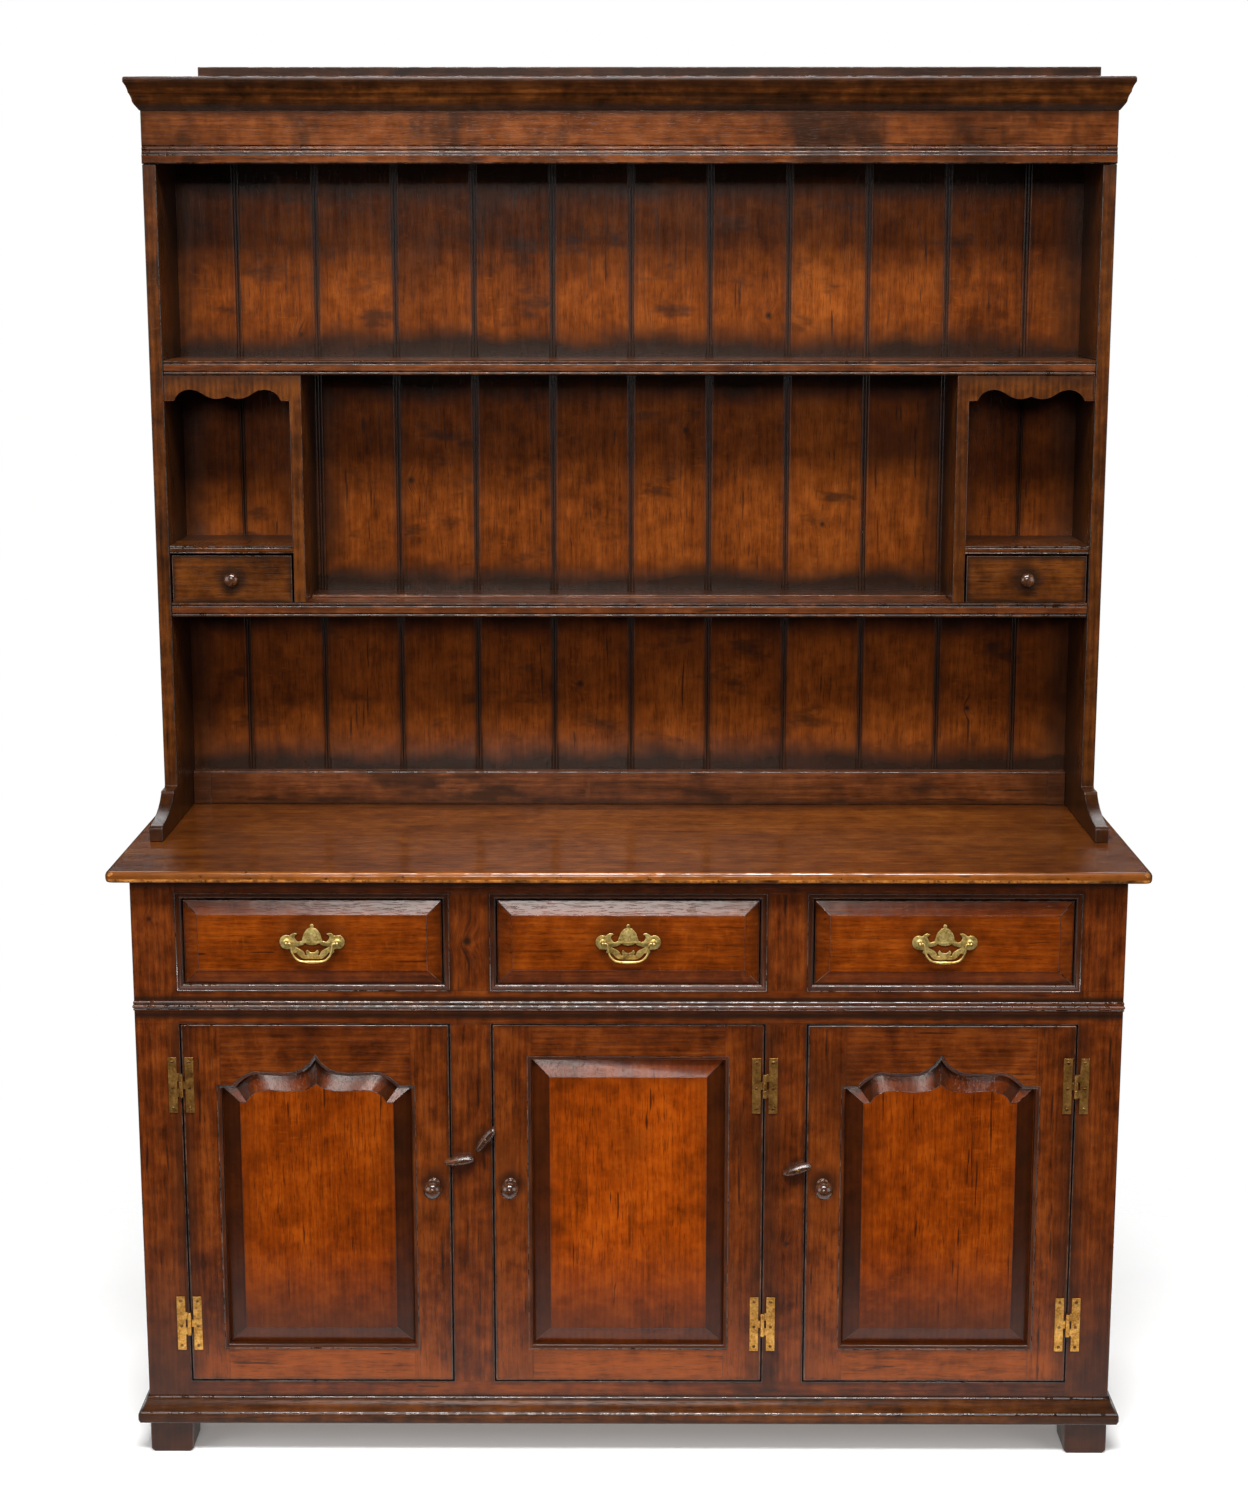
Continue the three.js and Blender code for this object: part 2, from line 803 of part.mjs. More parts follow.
function knob(reach, radius, flange, neck, spigot, spigotLength) {
  const profile = [
    [0, -spigotLength],
    [spigot, -spigotLength],
    [spigot, glueGap],
    [flange, glueGap],
    [flange, reach * 0.07],
    [neck, reach * 0.17],
    [neck, reach * 0.4],
    ...knobHeadShares.map(([out, along]) => [radius * out, reach * along]),
    [0, reach],
  ];
  const geometry = new THREE.LatheGeometry(outlineOf(profile), knobTurns);
  geometry.rotateZ(Math.PI);
  return solidOf(geometry);
}

// Doors. Each is made about its hinge axis, with its width running the way of dir, and its face at y 0
// before it is set back behind the axis.
// The insets of the point and of the shoulders aren't those of the sides, because the arch is steep at
// its point and the shoulders meet it in a hollow.
function archedOutline(low, high, bottom, point) {
  const middle = (low + high) / 2;
  return (inset) => {
    const half = (high - low) / 2 - inset;
    const foot = bottom + inset;
    const apex = point - inset * 1.41;
    const brow = point - browDrop - inset * 0.88;
    const shoulder = point - archRise - inset * 0.82;
    const dip = brow - browDip;
    const path = new THREE.Path();
    path.moveTo(middle - half, foot);
    path.lineTo(middle + half, foot);
    path.lineTo(middle + half, shoulder);
    const flatEnd = half - shoulderLength + inset * 0.385;
    const lean = 0.5 + (inset / panelBevel) * 0.25;
    const turn = flatEnd * lean + half * 0.61 * (1 - lean);
    path.lineTo(middle + flatEnd, shoulder);
    path.quadraticCurveTo(middle + turn, brow, middle + half * 0.61, brow);
    path.quadraticCurveTo(middle + half * 0.46, dip, middle + half * 0.32, dip);
    path.quadraticCurveTo(middle + half * 0.096, dip, middle, apex);
    path.quadraticCurveTo(middle - half * 0.096, dip, middle - half * 0.32, dip);
    path.quadraticCurveTo(middle - half * 0.46, dip, middle - half * 0.61, brow);
    path.quadraticCurveTo(middle - turn, brow, middle - flatEnd, shoulder);
    path.lineTo(middle - half, shoulder);
    return path.getPoints(archTurns).map((at) => [at.x, at.y]);
  };
}

const archTurns = 4;

const doorPlace = (u, v, w) => new THREE.Vector3(u, w - hingeAxisY, v);

// The outline of a door's panel opening, measured from the hinge axis and the door's foot
function panelOutline(door) {
  const near = door.dir * (doorGap + doorStileWidth);
  const far = door.dir * (doorGap + door.width - doorStileWidth);
  const [low, high] = [Math.min(near, far), Math.max(near, far)];
  const top = doorHeight - doorTopRail;
  if (door.arched) return archedOutline(low, high, doorBottomRail, top);
  return rectangle(low, high, doorBottomRail, top);
}

function knobPlace(door) {
  return { x: door.dir * (doorGap + door.width - knobEdgeInset), z: doorHeight - knobDrop };
}

function doorFrame(door) {
  const outline = panelOutline(door);
  const ends = [door.dir * doorGap, door.dir * (doorGap + door.width)];
  const board = block(ends, [-hingeAxisY, doorThickness - hingeAxisY], [0, doorHeight]);
  const groove = layers(doorPlace, outline, [
    [-panelTongue - glueGap, panelEdgeDepth - glueGap],
    [-panelTongue - glueGap, panelEdgeDepth + panelEdgeThickness + glueGap],
  ]);
  const { x, z } = knobPlace(door);
  const hole = barAlongY(
    knobSpigotRadius + pinGap,
    -overrun - hingeAxisY,
    knobSpigotLength + pinGap - hingeAxisY,
    x,
    z,
  );
  const opening = openingCutter(doorPlace, outline, doorMouldWidth, doorMouldDepth, doorThickness);
  return subtractAll(board, [opening, groove, hole]);
}

function doorPanel(door) {
  return layers(doorPlace, panelOutline(door), [
    [-panelTongue, panelEdgeDepth + panelEdgeThickness],
    [-panelTongue, panelEdgeDepth],
    [glueGap, panelEdgeDepth],
    [panelBevel, panelFieldDepth + fieldStep],
    [panelBevel, panelFieldDepth],
  ]);
}

// H hinges: upright leaves on the face, joined by a knuckle in the gap of the H. The frame's leaf
// holds the pin and the outer knuckles, and the door's leaf turns on it.
function hingeUpright(dir) {
  const x = [dir * (leafGap / 2), dir * (leafGap / 2 + leafWidth)];
  return block(x, [-glueGap - leafThickness, -glueGap], [-leafHeight / 2, leafHeight / 2]);
}

function hingeWeb(dir, from, to) {
  const x = [0, dir * (leafGap / 2 + leafThickness)];
  return block(x, [-glueGap - leafThickness, -glueGap], [from, to]);
}

const knuckleShare = 1 / 3;

function frameLeaf(dir) {
  const half = knuckleHeight / 2;
  const inner = half * knuckleShare + pinGap / 2;
  const outerKnuckles = [-1, 1].flatMap((end) => [
    barAlongZ(knuckleRadius, end * inner, end * half, hingeAxisY),
    hingeWeb(dir, end * inner, end * half),
  ]);
  const pin = barAlongZ(hingePinRadius, -half, half, hingeAxisY, 8);
  return union([hingeUpright(dir), ...outerKnuckles, pin]);
}

function doorLeaf(dir) {
  const end = (knuckleHeight / 2) * knuckleShare - pinGap / 2;
  const knuckle = barAlongZ(knuckleRadius, -end, end, hingeAxisY);
  const hole = barAlongZ(hingePinRadius + pinGap, -leafHeight, leafHeight, hingeAxisY, 8);
  return union([hingeUpright(dir), knuckle, hingeWeb(dir, -end, end)]).subtract(hole);
}

function addDoor(door) {
  const bay = door.bay;
  const axisX = door.dir > 0 ? bay.low : bay.high;
  const foot = cupboardFloorTop + doorGap;
  const group = groupAt(dresser, axisX, faceY + hingeAxisY, foot);
  addMesh(group, `${bay.name}_door_frame`, doorFrame(door), wood(oakColour));
  addMesh(group, `${bay.name}_door_panel`, doorPanel(door), wood(oakColour));
  const { x, z } = knobPlace(door);
  const knobGroup = groupAt(group, x, -hingeAxisY, z);
  const turned = knob(
    knobReach,
    knobRadius,
    knobFlangeRadius,
    knobNeckRadius,
    knobSpigotRadius,
    knobSpigotLength,
  );
  addMesh(knobGroup, `${bay.name}_door_knob`, turned, wood(oakDarkColour));
  const heights = { upper: doorHeight - hingeInset, lower: hingeInset };
  Object.entries(heights).forEach(([level, height]) => {
    const hinge = groupAt(group, 0, -hingeAxisY, height);
    addMesh(hinge, `${bay.name}_${level}_frame_leaf`, frameLeaf(-door.dir), brass());
    addMesh(hinge, `${bay.name}_${level}_door_leaf`, doorLeaf(door.dir), brass());
  });
}

const doors = bays.map((bay, i) => ({
  bay,
  dir: i === 0 ? 1 : -1,
  arched: i !== 1,
  width: bay.high - bay.low - 2 * doorGap,
}));
doors.forEach(addDoor);

// Turn buttons: boat-shaped catches that turn on a pin in the muntin beside the door
const buttonShares = [
  [-1, -0.2],
  [-0.88, -0.58],
  [-0.45, -0.94],
  [0.15, -1],
  [0.66, -0.9],
  [0.94, -0.55],
  [1, -0.15],
  [1, 0.15],
  [0.94, 0.55],
  [0.66, 0.9],
  [0.15, 1],
  [-0.45, 0.94],
  [-0.88, 0.58],
  [-1, 0.2],
];

function turnButton() {
  const place = (u, v, w) => new THREE.Vector3(u, -w, v);
  const outlineAt = (inset) =>
    buttonShares.map(([u, v]) => [u * (buttonHalfLength - inset), v * (buttonHalfWidth - inset)]);
  const front = buttonFaceGap + buttonThickness;
  const body = layers(place, outlineAt, [
    [0, buttonFaceGap],
    [0, front - buttonChamfer],
    [buttonChamfer, front],
  ]);
  const pin = barAlongY(buttonPinRadius, -front, buttonPinLength);
  const head = barAlongY(buttonPinHeadRadius, -front - buttonPinHead, -front + buttonPinHead);
  return union([body, pin, head]);
}

buttons.forEach((button) => {
  const { x, z } = buttonPlace(button);
  const group = groupAt(dresser, x, faceY, z);
  group.rotation.y = -THREE.MathUtils.degToRad(button.tilt);
  addMesh(group, button.name, turnButton(), wood(oakDarkColour));
});

// Drop handles: a pierced plate with a bell-shaped crown, two posts and a swan-necked bail. The
// right half of each outline is in shares of the post spacing and of the height of the crown.
const plateShares = [
  [0, -0.956],
  [0.315, -0.942],
  [0.453, -0.861],
  [0.56, -0.72],
  [0.66, -0.6],
  [0.77, -0.66],
  [0.87, -0.58],
  [0.85, -0.45],
  [0.853, -0.314],
  [0.853, 0.314],
  [0.787, 0.449],
  [0.72, 0.511],
  [0.627, 0.493],
  [0.56, 0.438],
  [0.64, 0.383],
  [0.68, 0.274],
  [0.653, 0.146],
  [0.56, 0],
  [0.467, 0.044],
  [0.405, 0.055],
  [0.381, 0.182],
  [0.355, 0.303],
  [0.32, 0.456],
  [0.264, 0.584],
  [0.208, 0.679],
  [0.152, 0.745],
  [0.08, 0.785],
  [0.059, 0.825],
  [0.072, 0.912],
  [0.043, 0.985],
  [0, 1],
];
const piercingShares = [
  [0, -0.172],
  [0.16, -0.146],
  [0.275, -0.066],
  [0.347, -0.153],
  [0.517, -0.226],
  [0.64, -0.263],
  [0.587, -0.328],
  [0.395, -0.471],
  [0.32, -0.602],
  [0.275, -0.759],
  [0.219, -0.712],
  [0.256, -0.566],
  [0.213, -0.445],
  [0.165, -0.474],
  [0.112, -0.555],
  [0, -0.595],
];

function mirrored(shares) {
  const points = shares.map(([x, z]) => [x * postHalfSpacing, z * plateRise]);
  const left = points.slice(1, -1).map(([x, z]) => [-x, z]);
  return [...points, ...left.reverse()];
}

function backplate() {
  const behind = -glueGap;
  const front = behind - plateThickness;
  const plate = prism("y", mirrored(plateShares), behind, front, [mirrored(piercingShares)]);
  const posts = [-1, 1].flatMap((side) => {
    const x = side * postHalfSpacing;
    return [
      barAlongY(roundelRadius, behind, front, x),
      barAlongY(postRadius, front + glueGap, -postReach + postHeadLength / 2, x, 0, 10),
      barAlongY(postHeadRadius, -postReach + postHeadLength, -postReach, x),
      barAlongY(postShankRadius, front + glueGap, drawerFrontThickness, x, 0, 8),
    ];
  });
  const reach = postHalfSpacing + postHeadRadius + overrun;
  return union([plate, ...posts]).subtract(barAlongX(bailRadius + pinGap, -reach, reach, -pivotReach));
}

// The bail's line: out of one post, down a leg that curves in, along the grip and up again
function bailPath() {
  const x = postHalfSpacing - bailInset;
  const [right, left] = [1, -1].map((side) => {
    const at = (px, share) => new THREE.Vector3(side * px, -pivotReach, -bailDrop * share);
    return [
      [at(postHalfSpacing + postHeadRadius / 2, 0), at(x + bailBend / 2, 0)],
      [at(x + bailBend / 2, 0), at(x, 0), at(x, 0.18)],
      [at(x, 0.18), at(x, 0.4)],
      [at(x, 0.4), at(x, 0.8), at(x * 0.76, 0.985), at(x * 0.45, 0.985)],
      [at(x * 0.45, 0.985), at(0, 1)],
    ];
  });
  const back = left.map((points) => [...points].reverse()).reverse();
  const path = new THREE.CurvePath();
  [...right, ...back].forEach((points) => {
    const kinds = { 2: THREE.LineCurve3, 3: THREE.QuadraticBezierCurve3, 4: THREE.CubicBezierCurve3 };
    path.add(new kinds[points.length](...points));
  });
  return path;
}

const bailSides = 7;
const bailSteps = 42;
function bail() {
  const section = Array.from({ length: bailSides }, (_, i) => {
    const angle = (2 * Math.PI * i) / bailSides;
    return [bailRadius * Math.cos(angle), bailRadius * Math.sin(angle)];
  });
  const shape = new THREE.Shape(outlineOf(section));
  const settings = { extrudePath: bailPath(), steps: bailSteps, bevelEnabled: false };
  return solidOf(new THREE.ExtrudeGeometry(shape, settings));
}

// Drawers of the base, each made about the middle of its front's foot, with its face at y 0
function drawerFront(width) {
  const place = (u, v, w) => new THREE.Vector3(u, w, v);
  const outline = rectangle(-width / 2, width / 2, 0, drawerFrontHeight);
  const body = layers(place, outline, [
    [0, drawerFrontThickness],
    [0, drawerBevelDepth],
    [drawerBevel, drawerStep],
    [drawerBevel, 0],
  ]);
  const middle = drawerFrontHeight / 2 + handleRise;
  const holes = [-1, 1].map((side) =>
    barAlongY(
      postShankRadius + pinGap,
      -overrun,
      drawerFrontThickness + overrun,
      side * postHalfSpacing,
      middle,
      8,
    ),
  );
  return subtractAll(body, holes);
}

function drawerBox(width) {
  const front = drawerFrontThickness + glueGap;
  const back = baseBackFrontY - drawerBackClearance - faceY;
  const top = drawerFrontHeight - drawerSideDrop;
  const wall = drawerSideThickness;
  const whole = block([-width / 2, width / 2], [front, back], [0, top]);
  const inside = block(
    [wall - width / 2, width / 2 - wall],
    [front + wall, back - wall],
    [drawerBottomThickness, top + overrun],
  );
  return whole.subtract(inside);
}

function addDrawer(bay) {
  const width = bay.high - bay.low - 2 * bayMouldWidth - 2 * drawerSideGap;
  const group = groupAt(dresser, (bay.low + bay.high) / 2, faceY, drawerFrontBottom);
  addMesh(group, `${bay.name}_drawer_front`, drawerFront(width), wood(oakColour));
  addMesh(group, `${bay.name}_drawer_box`, drawerBox(width), wood(oakDarkColour));
  const handle = groupAt(group, 0, 0, drawerFrontHeight / 2 + handleRise);
  addMesh(handle, `${bay.name}_handle_backplate`, backplate(), brass());
  addMesh(handle, `${bay.name}_handle_bail`, bail(), brass());
}

bays.forEach(addDrawer);

// Plate rack sides, with scrolled brackets that reach forward on the worktop
function rackSideOutline() {
  const z = (height) => rackFootZ + height;
  const noseY = rackFrontY - bracketReach;
  const earY = rackFrontY - bracketEarReach;
  const path = new THREE.Path();
  path.moveTo(backY, rackFootZ);
  path.lineTo(backY, rackSideTop);
  path.lineTo(rackFrontY + friezeThickness + glueGap, rackSideTop);
  path.lineTo(rackFrontY + friezeThickness + glueGap, friezeBottom - glueGap);
  path.lineTo(rackFrontY, friezeBottom - glueGap);
  path.lineTo(rackFrontY, z(bracketEarHeight + bracketFillet));
  path.lineTo(rackFrontY - bracketFillet, z(bracketEarHeight));
  path.lineTo(earY + bracketEarRound, z(bracketEarHeight));
  path.quadraticCurveTo(earY, z(bracketEarHeight), earY, z(bracketEarHeight - bracketEarRound));
  path.quadraticCurveTo(
    earY - bracketNoseHeight,
    z(bracketNoseHeight + bracketEarRound),
    noseY + bracketNoseRound * 2,
    z(bracketNoseHeight),
  );
  path.quadraticCurveTo(noseY, z(bracketNoseHeight), noseY, z(bracketNoseHeight - bracketNoseRound));
  path.lineTo(noseY, rackFootZ);
  return path.getPoints(bracketTurns).map((point) => [point.x, point.y]);
}

const bracketTurns = 5;

function shelfTongue(top, gap) {
  const y = [rackFrontY + dadoStop - gap, boardsFrontY - glueGap + gap];
  const z = [top - shelfThickness - gap, top + gap];
  const x = rackInnerX + dadoDepth - glueGap + gap;
  return block([-x, x], y, z);
}

function rackSide(side) {
  const board = prism("x", rackSideOutline(), side * rackInnerX, side * halfBase);
  const rebate = block(
    [side * (rackInnerX - overrun), side * (rackInnerX + boardRebate)],
    [boardsFrontY - glueGap, backY + overrun],
    [rackFootZ - overrun, rackSideTop + overrun],
  );
  const dados = [upperShelfTop, lowerShelfTop].map((top) => shelfTongue(top, glueGap));
  return subtractAll(board, [rebate, ...dados]);
}

addMesh(dresser, "rack_left_side", rackSide(-1), wood(oakColour));
addMesh(dresser, "rack_right_side", rackSide(1), wood(oakColour));

// A board along X with a bead along the top and bottom of its front edge
function beadedBoard(x, frontY, rearY, bottom, top, bead) {
  const quirk = shelfQuirk;
  const outline = [
    [rearY, bottom],
    [rearY, top],
    [frontY + edgeEase, top],
    [frontY, top - edgeEase],
    [frontY, top - bead],
    [frontY + quirk, top - bead - quirk / 2],
    [frontY, top - bead - quirk],
    [frontY, bottom + bead + quirk],
    [frontY + quirk, bottom + bead + quirk / 2],
    [frontY, bottom + bead],
    [frontY, bottom + edgeEase],
    [frontY + edgeEase, bottom],
  ];
  return prism("x", outline, x[0], x[1]);
}

function rackShelf(top) {
  const x = rackInnerX - glueGap;
  const bottom = top - shelfThickness;
  const board = beadedBoard([-x, x], rackFrontY, boardsFrontY - glueGap, bottom, top, shelfBead);
  return board.add(shelfTongue(top, 0));
}

function lowerShelf() {
  const x = rackInnerX - spiceBoxWidth - spiceDividerThickness - glueGap;
  const y = rackFrontY + plateStripSetback;
  const strip = block(
    [-x, x],
    [y, y + plateStripWidth],
    [lowerShelfTop - glueGap, lowerShelfTop + plateStripHeight],
  );
  return rackShelf(lowerShelfTop).add(strip);
}

addMesh(dresser, "upper_shelf", rackShelf(upperShelfTop), wood(oakColour));
addMesh(dresser, "lower_shelf", lowerShelf(), wood(oakColour));

// Back boards of the rack, from the foot rail to the top board
function rackBoards() {
  const outline = boardWall(
    rackInnerX + boardRebate - glueGap,
    rackBoardWidth,
    rackBoardShift,
    boardsFrontY,
    boardsFrontY + backBoardThickness,
    true,
  );
  return prism("z", outline, rackFootZ, rackSideTop);
}

addMesh(dresser, "rack_back_boards", rackBoards(), wood(oakColour));

function footRail() {
  const x = rackInnerX - glueGap;
  const rear = boardsFrontY - glueGap;
  const front = rear - footRailThickness;
  const top = rackFootZ + footRailHeight;
  const outline = [
    [rear, rackFootZ],
    [rear, top],
    [front + edgeEase * 2, top],
    [front, top - edgeEase * 2],
    [front, rackFootZ],
  ];
  const blocks = [-1, 1].map((side) =>
    block(
      [side * x, side * (x - footRailBlockWidth)],
      [front - footRailBlockProud, rear],
      [rackFootZ, top - edgeEase],
    ),
  );
  return union([prism("x", outline, -x, x), ...blocks]);
}

addMesh(dresser, "foot_rail", footRail(), wood(oakColour));

// Top board, with the batten that stands along its back edge
function rackTop() {
  const y = [rackFrontY + friezeThickness + glueGap, backY];
  const board = block([-halfBase, halfBase], y, [corniceTop - rackTopThickness, corniceTop]);
  const batten = block(
    [battenLeftInset - halfBase, halfBase - battenRightInset],
    [backY - battenThickness, backY],
    [corniceTop - glueGap, corniceTop + battenHeight],
  );
  return board.add(batten);
}

addMesh(dresser, "rack_top", rackTop(), wood(oakDarkColour));

// Frieze: a plain board with a moulded foot
function frieze() {
  const face = rackFrontY;
  const bead = friezeBead;
  const step = friezeStep;
  const lip = friezeBottom + friezeLipHeight;
  const outline = [
    [face + friezeThickness, friezeBottom],
    [face + friezeThickness, corniceTop],
    [face, corniceTop],
    [face, lip + 2 * bead + 2 * step],
    [face + step, lip + 2 * bead + step],
    [face - step, lip + 2 * bead],
    [face - step, lip + bead + step],
    [face, lip + bead],
    [face - step, lip + bead - step],
    [face - step, lip],
    [face - friezeLipProud, lip - step],
    [face - friezeLipProud, friezeBottom + step],
    [face - friezeLipProud + step, friezeBottom],
  ];
  return prism("x", outline, -halfBase, halfBase);
}

addMesh(dresser, "frieze", frieze(), wood(oakColour));

// Cornice round the front and both sides
const corniceShares = [
  [0, 0],
  [0.08, 0.02],
  [0.2, 0.09],
  [0.37, 0.185],
  [0.47, 0.26],
  [0.5, 0.34],
  [0.56, 0.42],
  [0.65, 0.5],
  [0.7, 0.53],
  [0.74, 0.62],
  [0.83, 0.72],
  [0.93, 0.79],
  [1, 0.84],
  [1, 0.94],
  [0.96, 0.98],
  [0.9, 1],
  [0, 1],
];

function cornice() {
  const profile = profileFrom(
    corniceShares,
    corniceProud,
    corniceHeight,
    corniceTop - corniceHeight,
  );
  return wrapMoulding(profile, halfBase, rackFrontY, backY);
}

addMesh(dresser, "cornice", cornice(), wood(oakColour));

// Spice boxes: a divider, a cupid's-bow apron and a small shelf over a drawer
function apronOutline(low, high) {
  const top = upperShelfTop - shelfThickness - glueGap;
  const foot = top - spiceApronDrop;
  const arch = foot + spiceApronArch;
  const lobe = foot + spiceApronLobe;
  const at = (share) => low + (high - low) * share;
  const path = new THREE.Path();
  path.moveTo(at(0), top);
  path.lineTo(at(0), foot);
  path.lineTo(at(0.075), foot);
  path.quadraticCurveTo(at(0.11), arch, at(0.21), arch);
  path.bezierCurveTo(at(0.29), arch, at(0.32), lobe, at(0.41), lobe);
  path.quadraticCurveTo(at(0.46), lobe, at(0.5), foot + spiceApronCusp);
  path.quadraticCurveTo(at(0.54), lobe, at(0.59), lobe);
  path.bezierCurveTo(at(0.68), lobe, at(0.71), arch, at(0.79), arch);
  path.quadraticCurveTo(at(0.89), arch, at(0.925), foot);
  path.lineTo(at(1), foot);
  path.lineTo(at(1), top);
  return path.getPoints(apronTurns).map((point) => [point.x, point.y]);
}

const apronTurns = 6;

function spiceBox(side) {
  const outer = side * (rackInnerX - glueGap);
  const inner = side * (rackInnerX - spiceBoxWidth);
  const divider = block(
    [inner, inner - side * spiceDividerThickness],
    [spiceFrontY, boardsFrontY - glueGap],
    [lowerShelfTop + glueGap, upperShelfTop - shelfThickness - glueGap],
  );
  const joint = inner - side * fieldStep;
  const [low, high] = [Math.min(outer, joint), Math.max(outer, joint)];
  const apron = prism(
    "y",
    apronOutline(low, high),
    spiceFrontY,
    spiceFrontY + spiceApronThickness,
  );
  const shelf = beadedBoard(
    [low, high],
    spiceFrontY,
    boardsFrontY - glueGap,
    spiceShelfTop - spiceShelfThickness,
    spiceShelfTop,
    shelfBead / 2,
  );
  return union([divider, apron, shelf]);
}

addMesh(dresser, "left_spice_box", spiceBox(-1), wood(oakColour));
addMesh(dresser, "right_spice_box", spiceBox(1), wood(oakColour));

function spiceDrawer(width, height) {
  const depth = boardsFrontY - spiceBackClearance - spiceFrontY;
  const wall = spiceSideThickness;
  const whole = block([-width / 2, width / 2], [0, depth], [0, height]);
  const inside = block(
    [wall - width / 2, width / 2 - wall],
    [spiceFrontThickness, depth - wall],
    [spiceBottomThickness, height + overrun],
  );
  const hole = barAlongY(
    smallKnobSpigotRadius + pinGap,
    -overrun,
    smallKnobSpigotLength + pinGap,
    0,
    height / 2,
  );
  return subtractAll(whole, [inside, hole]);
}

function addSpiceDrawer(name, side) {
  const width = spiceBoxWidth - 2 * spiceDrawerSideGap;
  const height = spiceBayHeight - runnerGap - spiceDrawerTopGap;
  const middle = side * (rackInnerX - spiceBoxWidth / 2);
  const group = groupAt(dresser, middle, spiceFrontY, lowerShelfTop + runnerGap);
  addMesh(group, `${name}_spice_drawer`, spiceDrawer(width, height), wood(oakColour));
  const knobGroup = groupAt(group, 0, 0, height / 2);
  const turned = knob(
    smallKnobReach,
    smallKnobRadius,
    smallKnobFlangeRadius,
    smallKnobNeckRadius,
    smallKnobSpigotRadius,
    smallKnobSpigotLength,
  );
  addMesh(knobGroup, `${name}_spice_knob`, turned, wood(oakDarkColour));
}

addSpiceDrawer("left", -1);
addSpiceDrawer("right", 1);

export default dresser;
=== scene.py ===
# %% [markdown]
# # A Welsh dresser in old stained oak
#
# The real piece is two pieces of joinery, one on the other. The base has three drawers over three
# cupboards, and the plate rack on it is open, with two shelves and two small spice boxes. All of
# it is oak that was stained a warm brown, waxed for years and rubbed on every edge.
#
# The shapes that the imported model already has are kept, and get softened edges and a finish. The
# small turned and cast pieces are made again here with more detail. The frame comes first, because
# every piece is placed from its boxes, in metres.

# %% The frame of the dresser
import math
import random

import bmesh
import bpy
from mathutils import Matrix, Vector


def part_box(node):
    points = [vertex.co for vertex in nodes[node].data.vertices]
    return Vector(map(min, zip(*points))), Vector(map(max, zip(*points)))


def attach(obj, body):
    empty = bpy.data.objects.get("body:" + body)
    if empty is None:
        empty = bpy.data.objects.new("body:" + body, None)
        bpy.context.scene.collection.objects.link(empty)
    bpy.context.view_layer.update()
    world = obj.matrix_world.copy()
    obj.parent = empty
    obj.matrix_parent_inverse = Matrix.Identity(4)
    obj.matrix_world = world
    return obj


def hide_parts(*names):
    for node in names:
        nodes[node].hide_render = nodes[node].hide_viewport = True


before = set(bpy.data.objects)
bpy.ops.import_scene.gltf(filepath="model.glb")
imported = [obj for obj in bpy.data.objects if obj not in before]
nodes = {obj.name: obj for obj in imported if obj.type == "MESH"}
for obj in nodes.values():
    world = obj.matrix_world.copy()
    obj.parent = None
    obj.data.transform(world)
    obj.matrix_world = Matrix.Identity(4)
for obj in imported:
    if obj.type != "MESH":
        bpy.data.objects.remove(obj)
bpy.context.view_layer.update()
MM = 0.001
BAYS = ("left", "middle", "right")

# %% [markdown]
# ## Shader sums in plain Python
#
# A finish is a sum of many patterns: figure, streaks, pores, stain, wear. Node by node that is
# hard to read, so a small class holds a socket and lets Python's own operators add the Math nodes.

# %% A socket that can be reckoned with
def sum_with(operation, swapped=False, kind="Math"):
    """A method of a wire that adds a node for one sum."""

    def method(wire, *others):
        values = (*others, wire) if swapped else (wire, *others)
        return wire.node("ShaderNode" + kind, {"operation": operation}, dict(enumerate(values)))

    return method


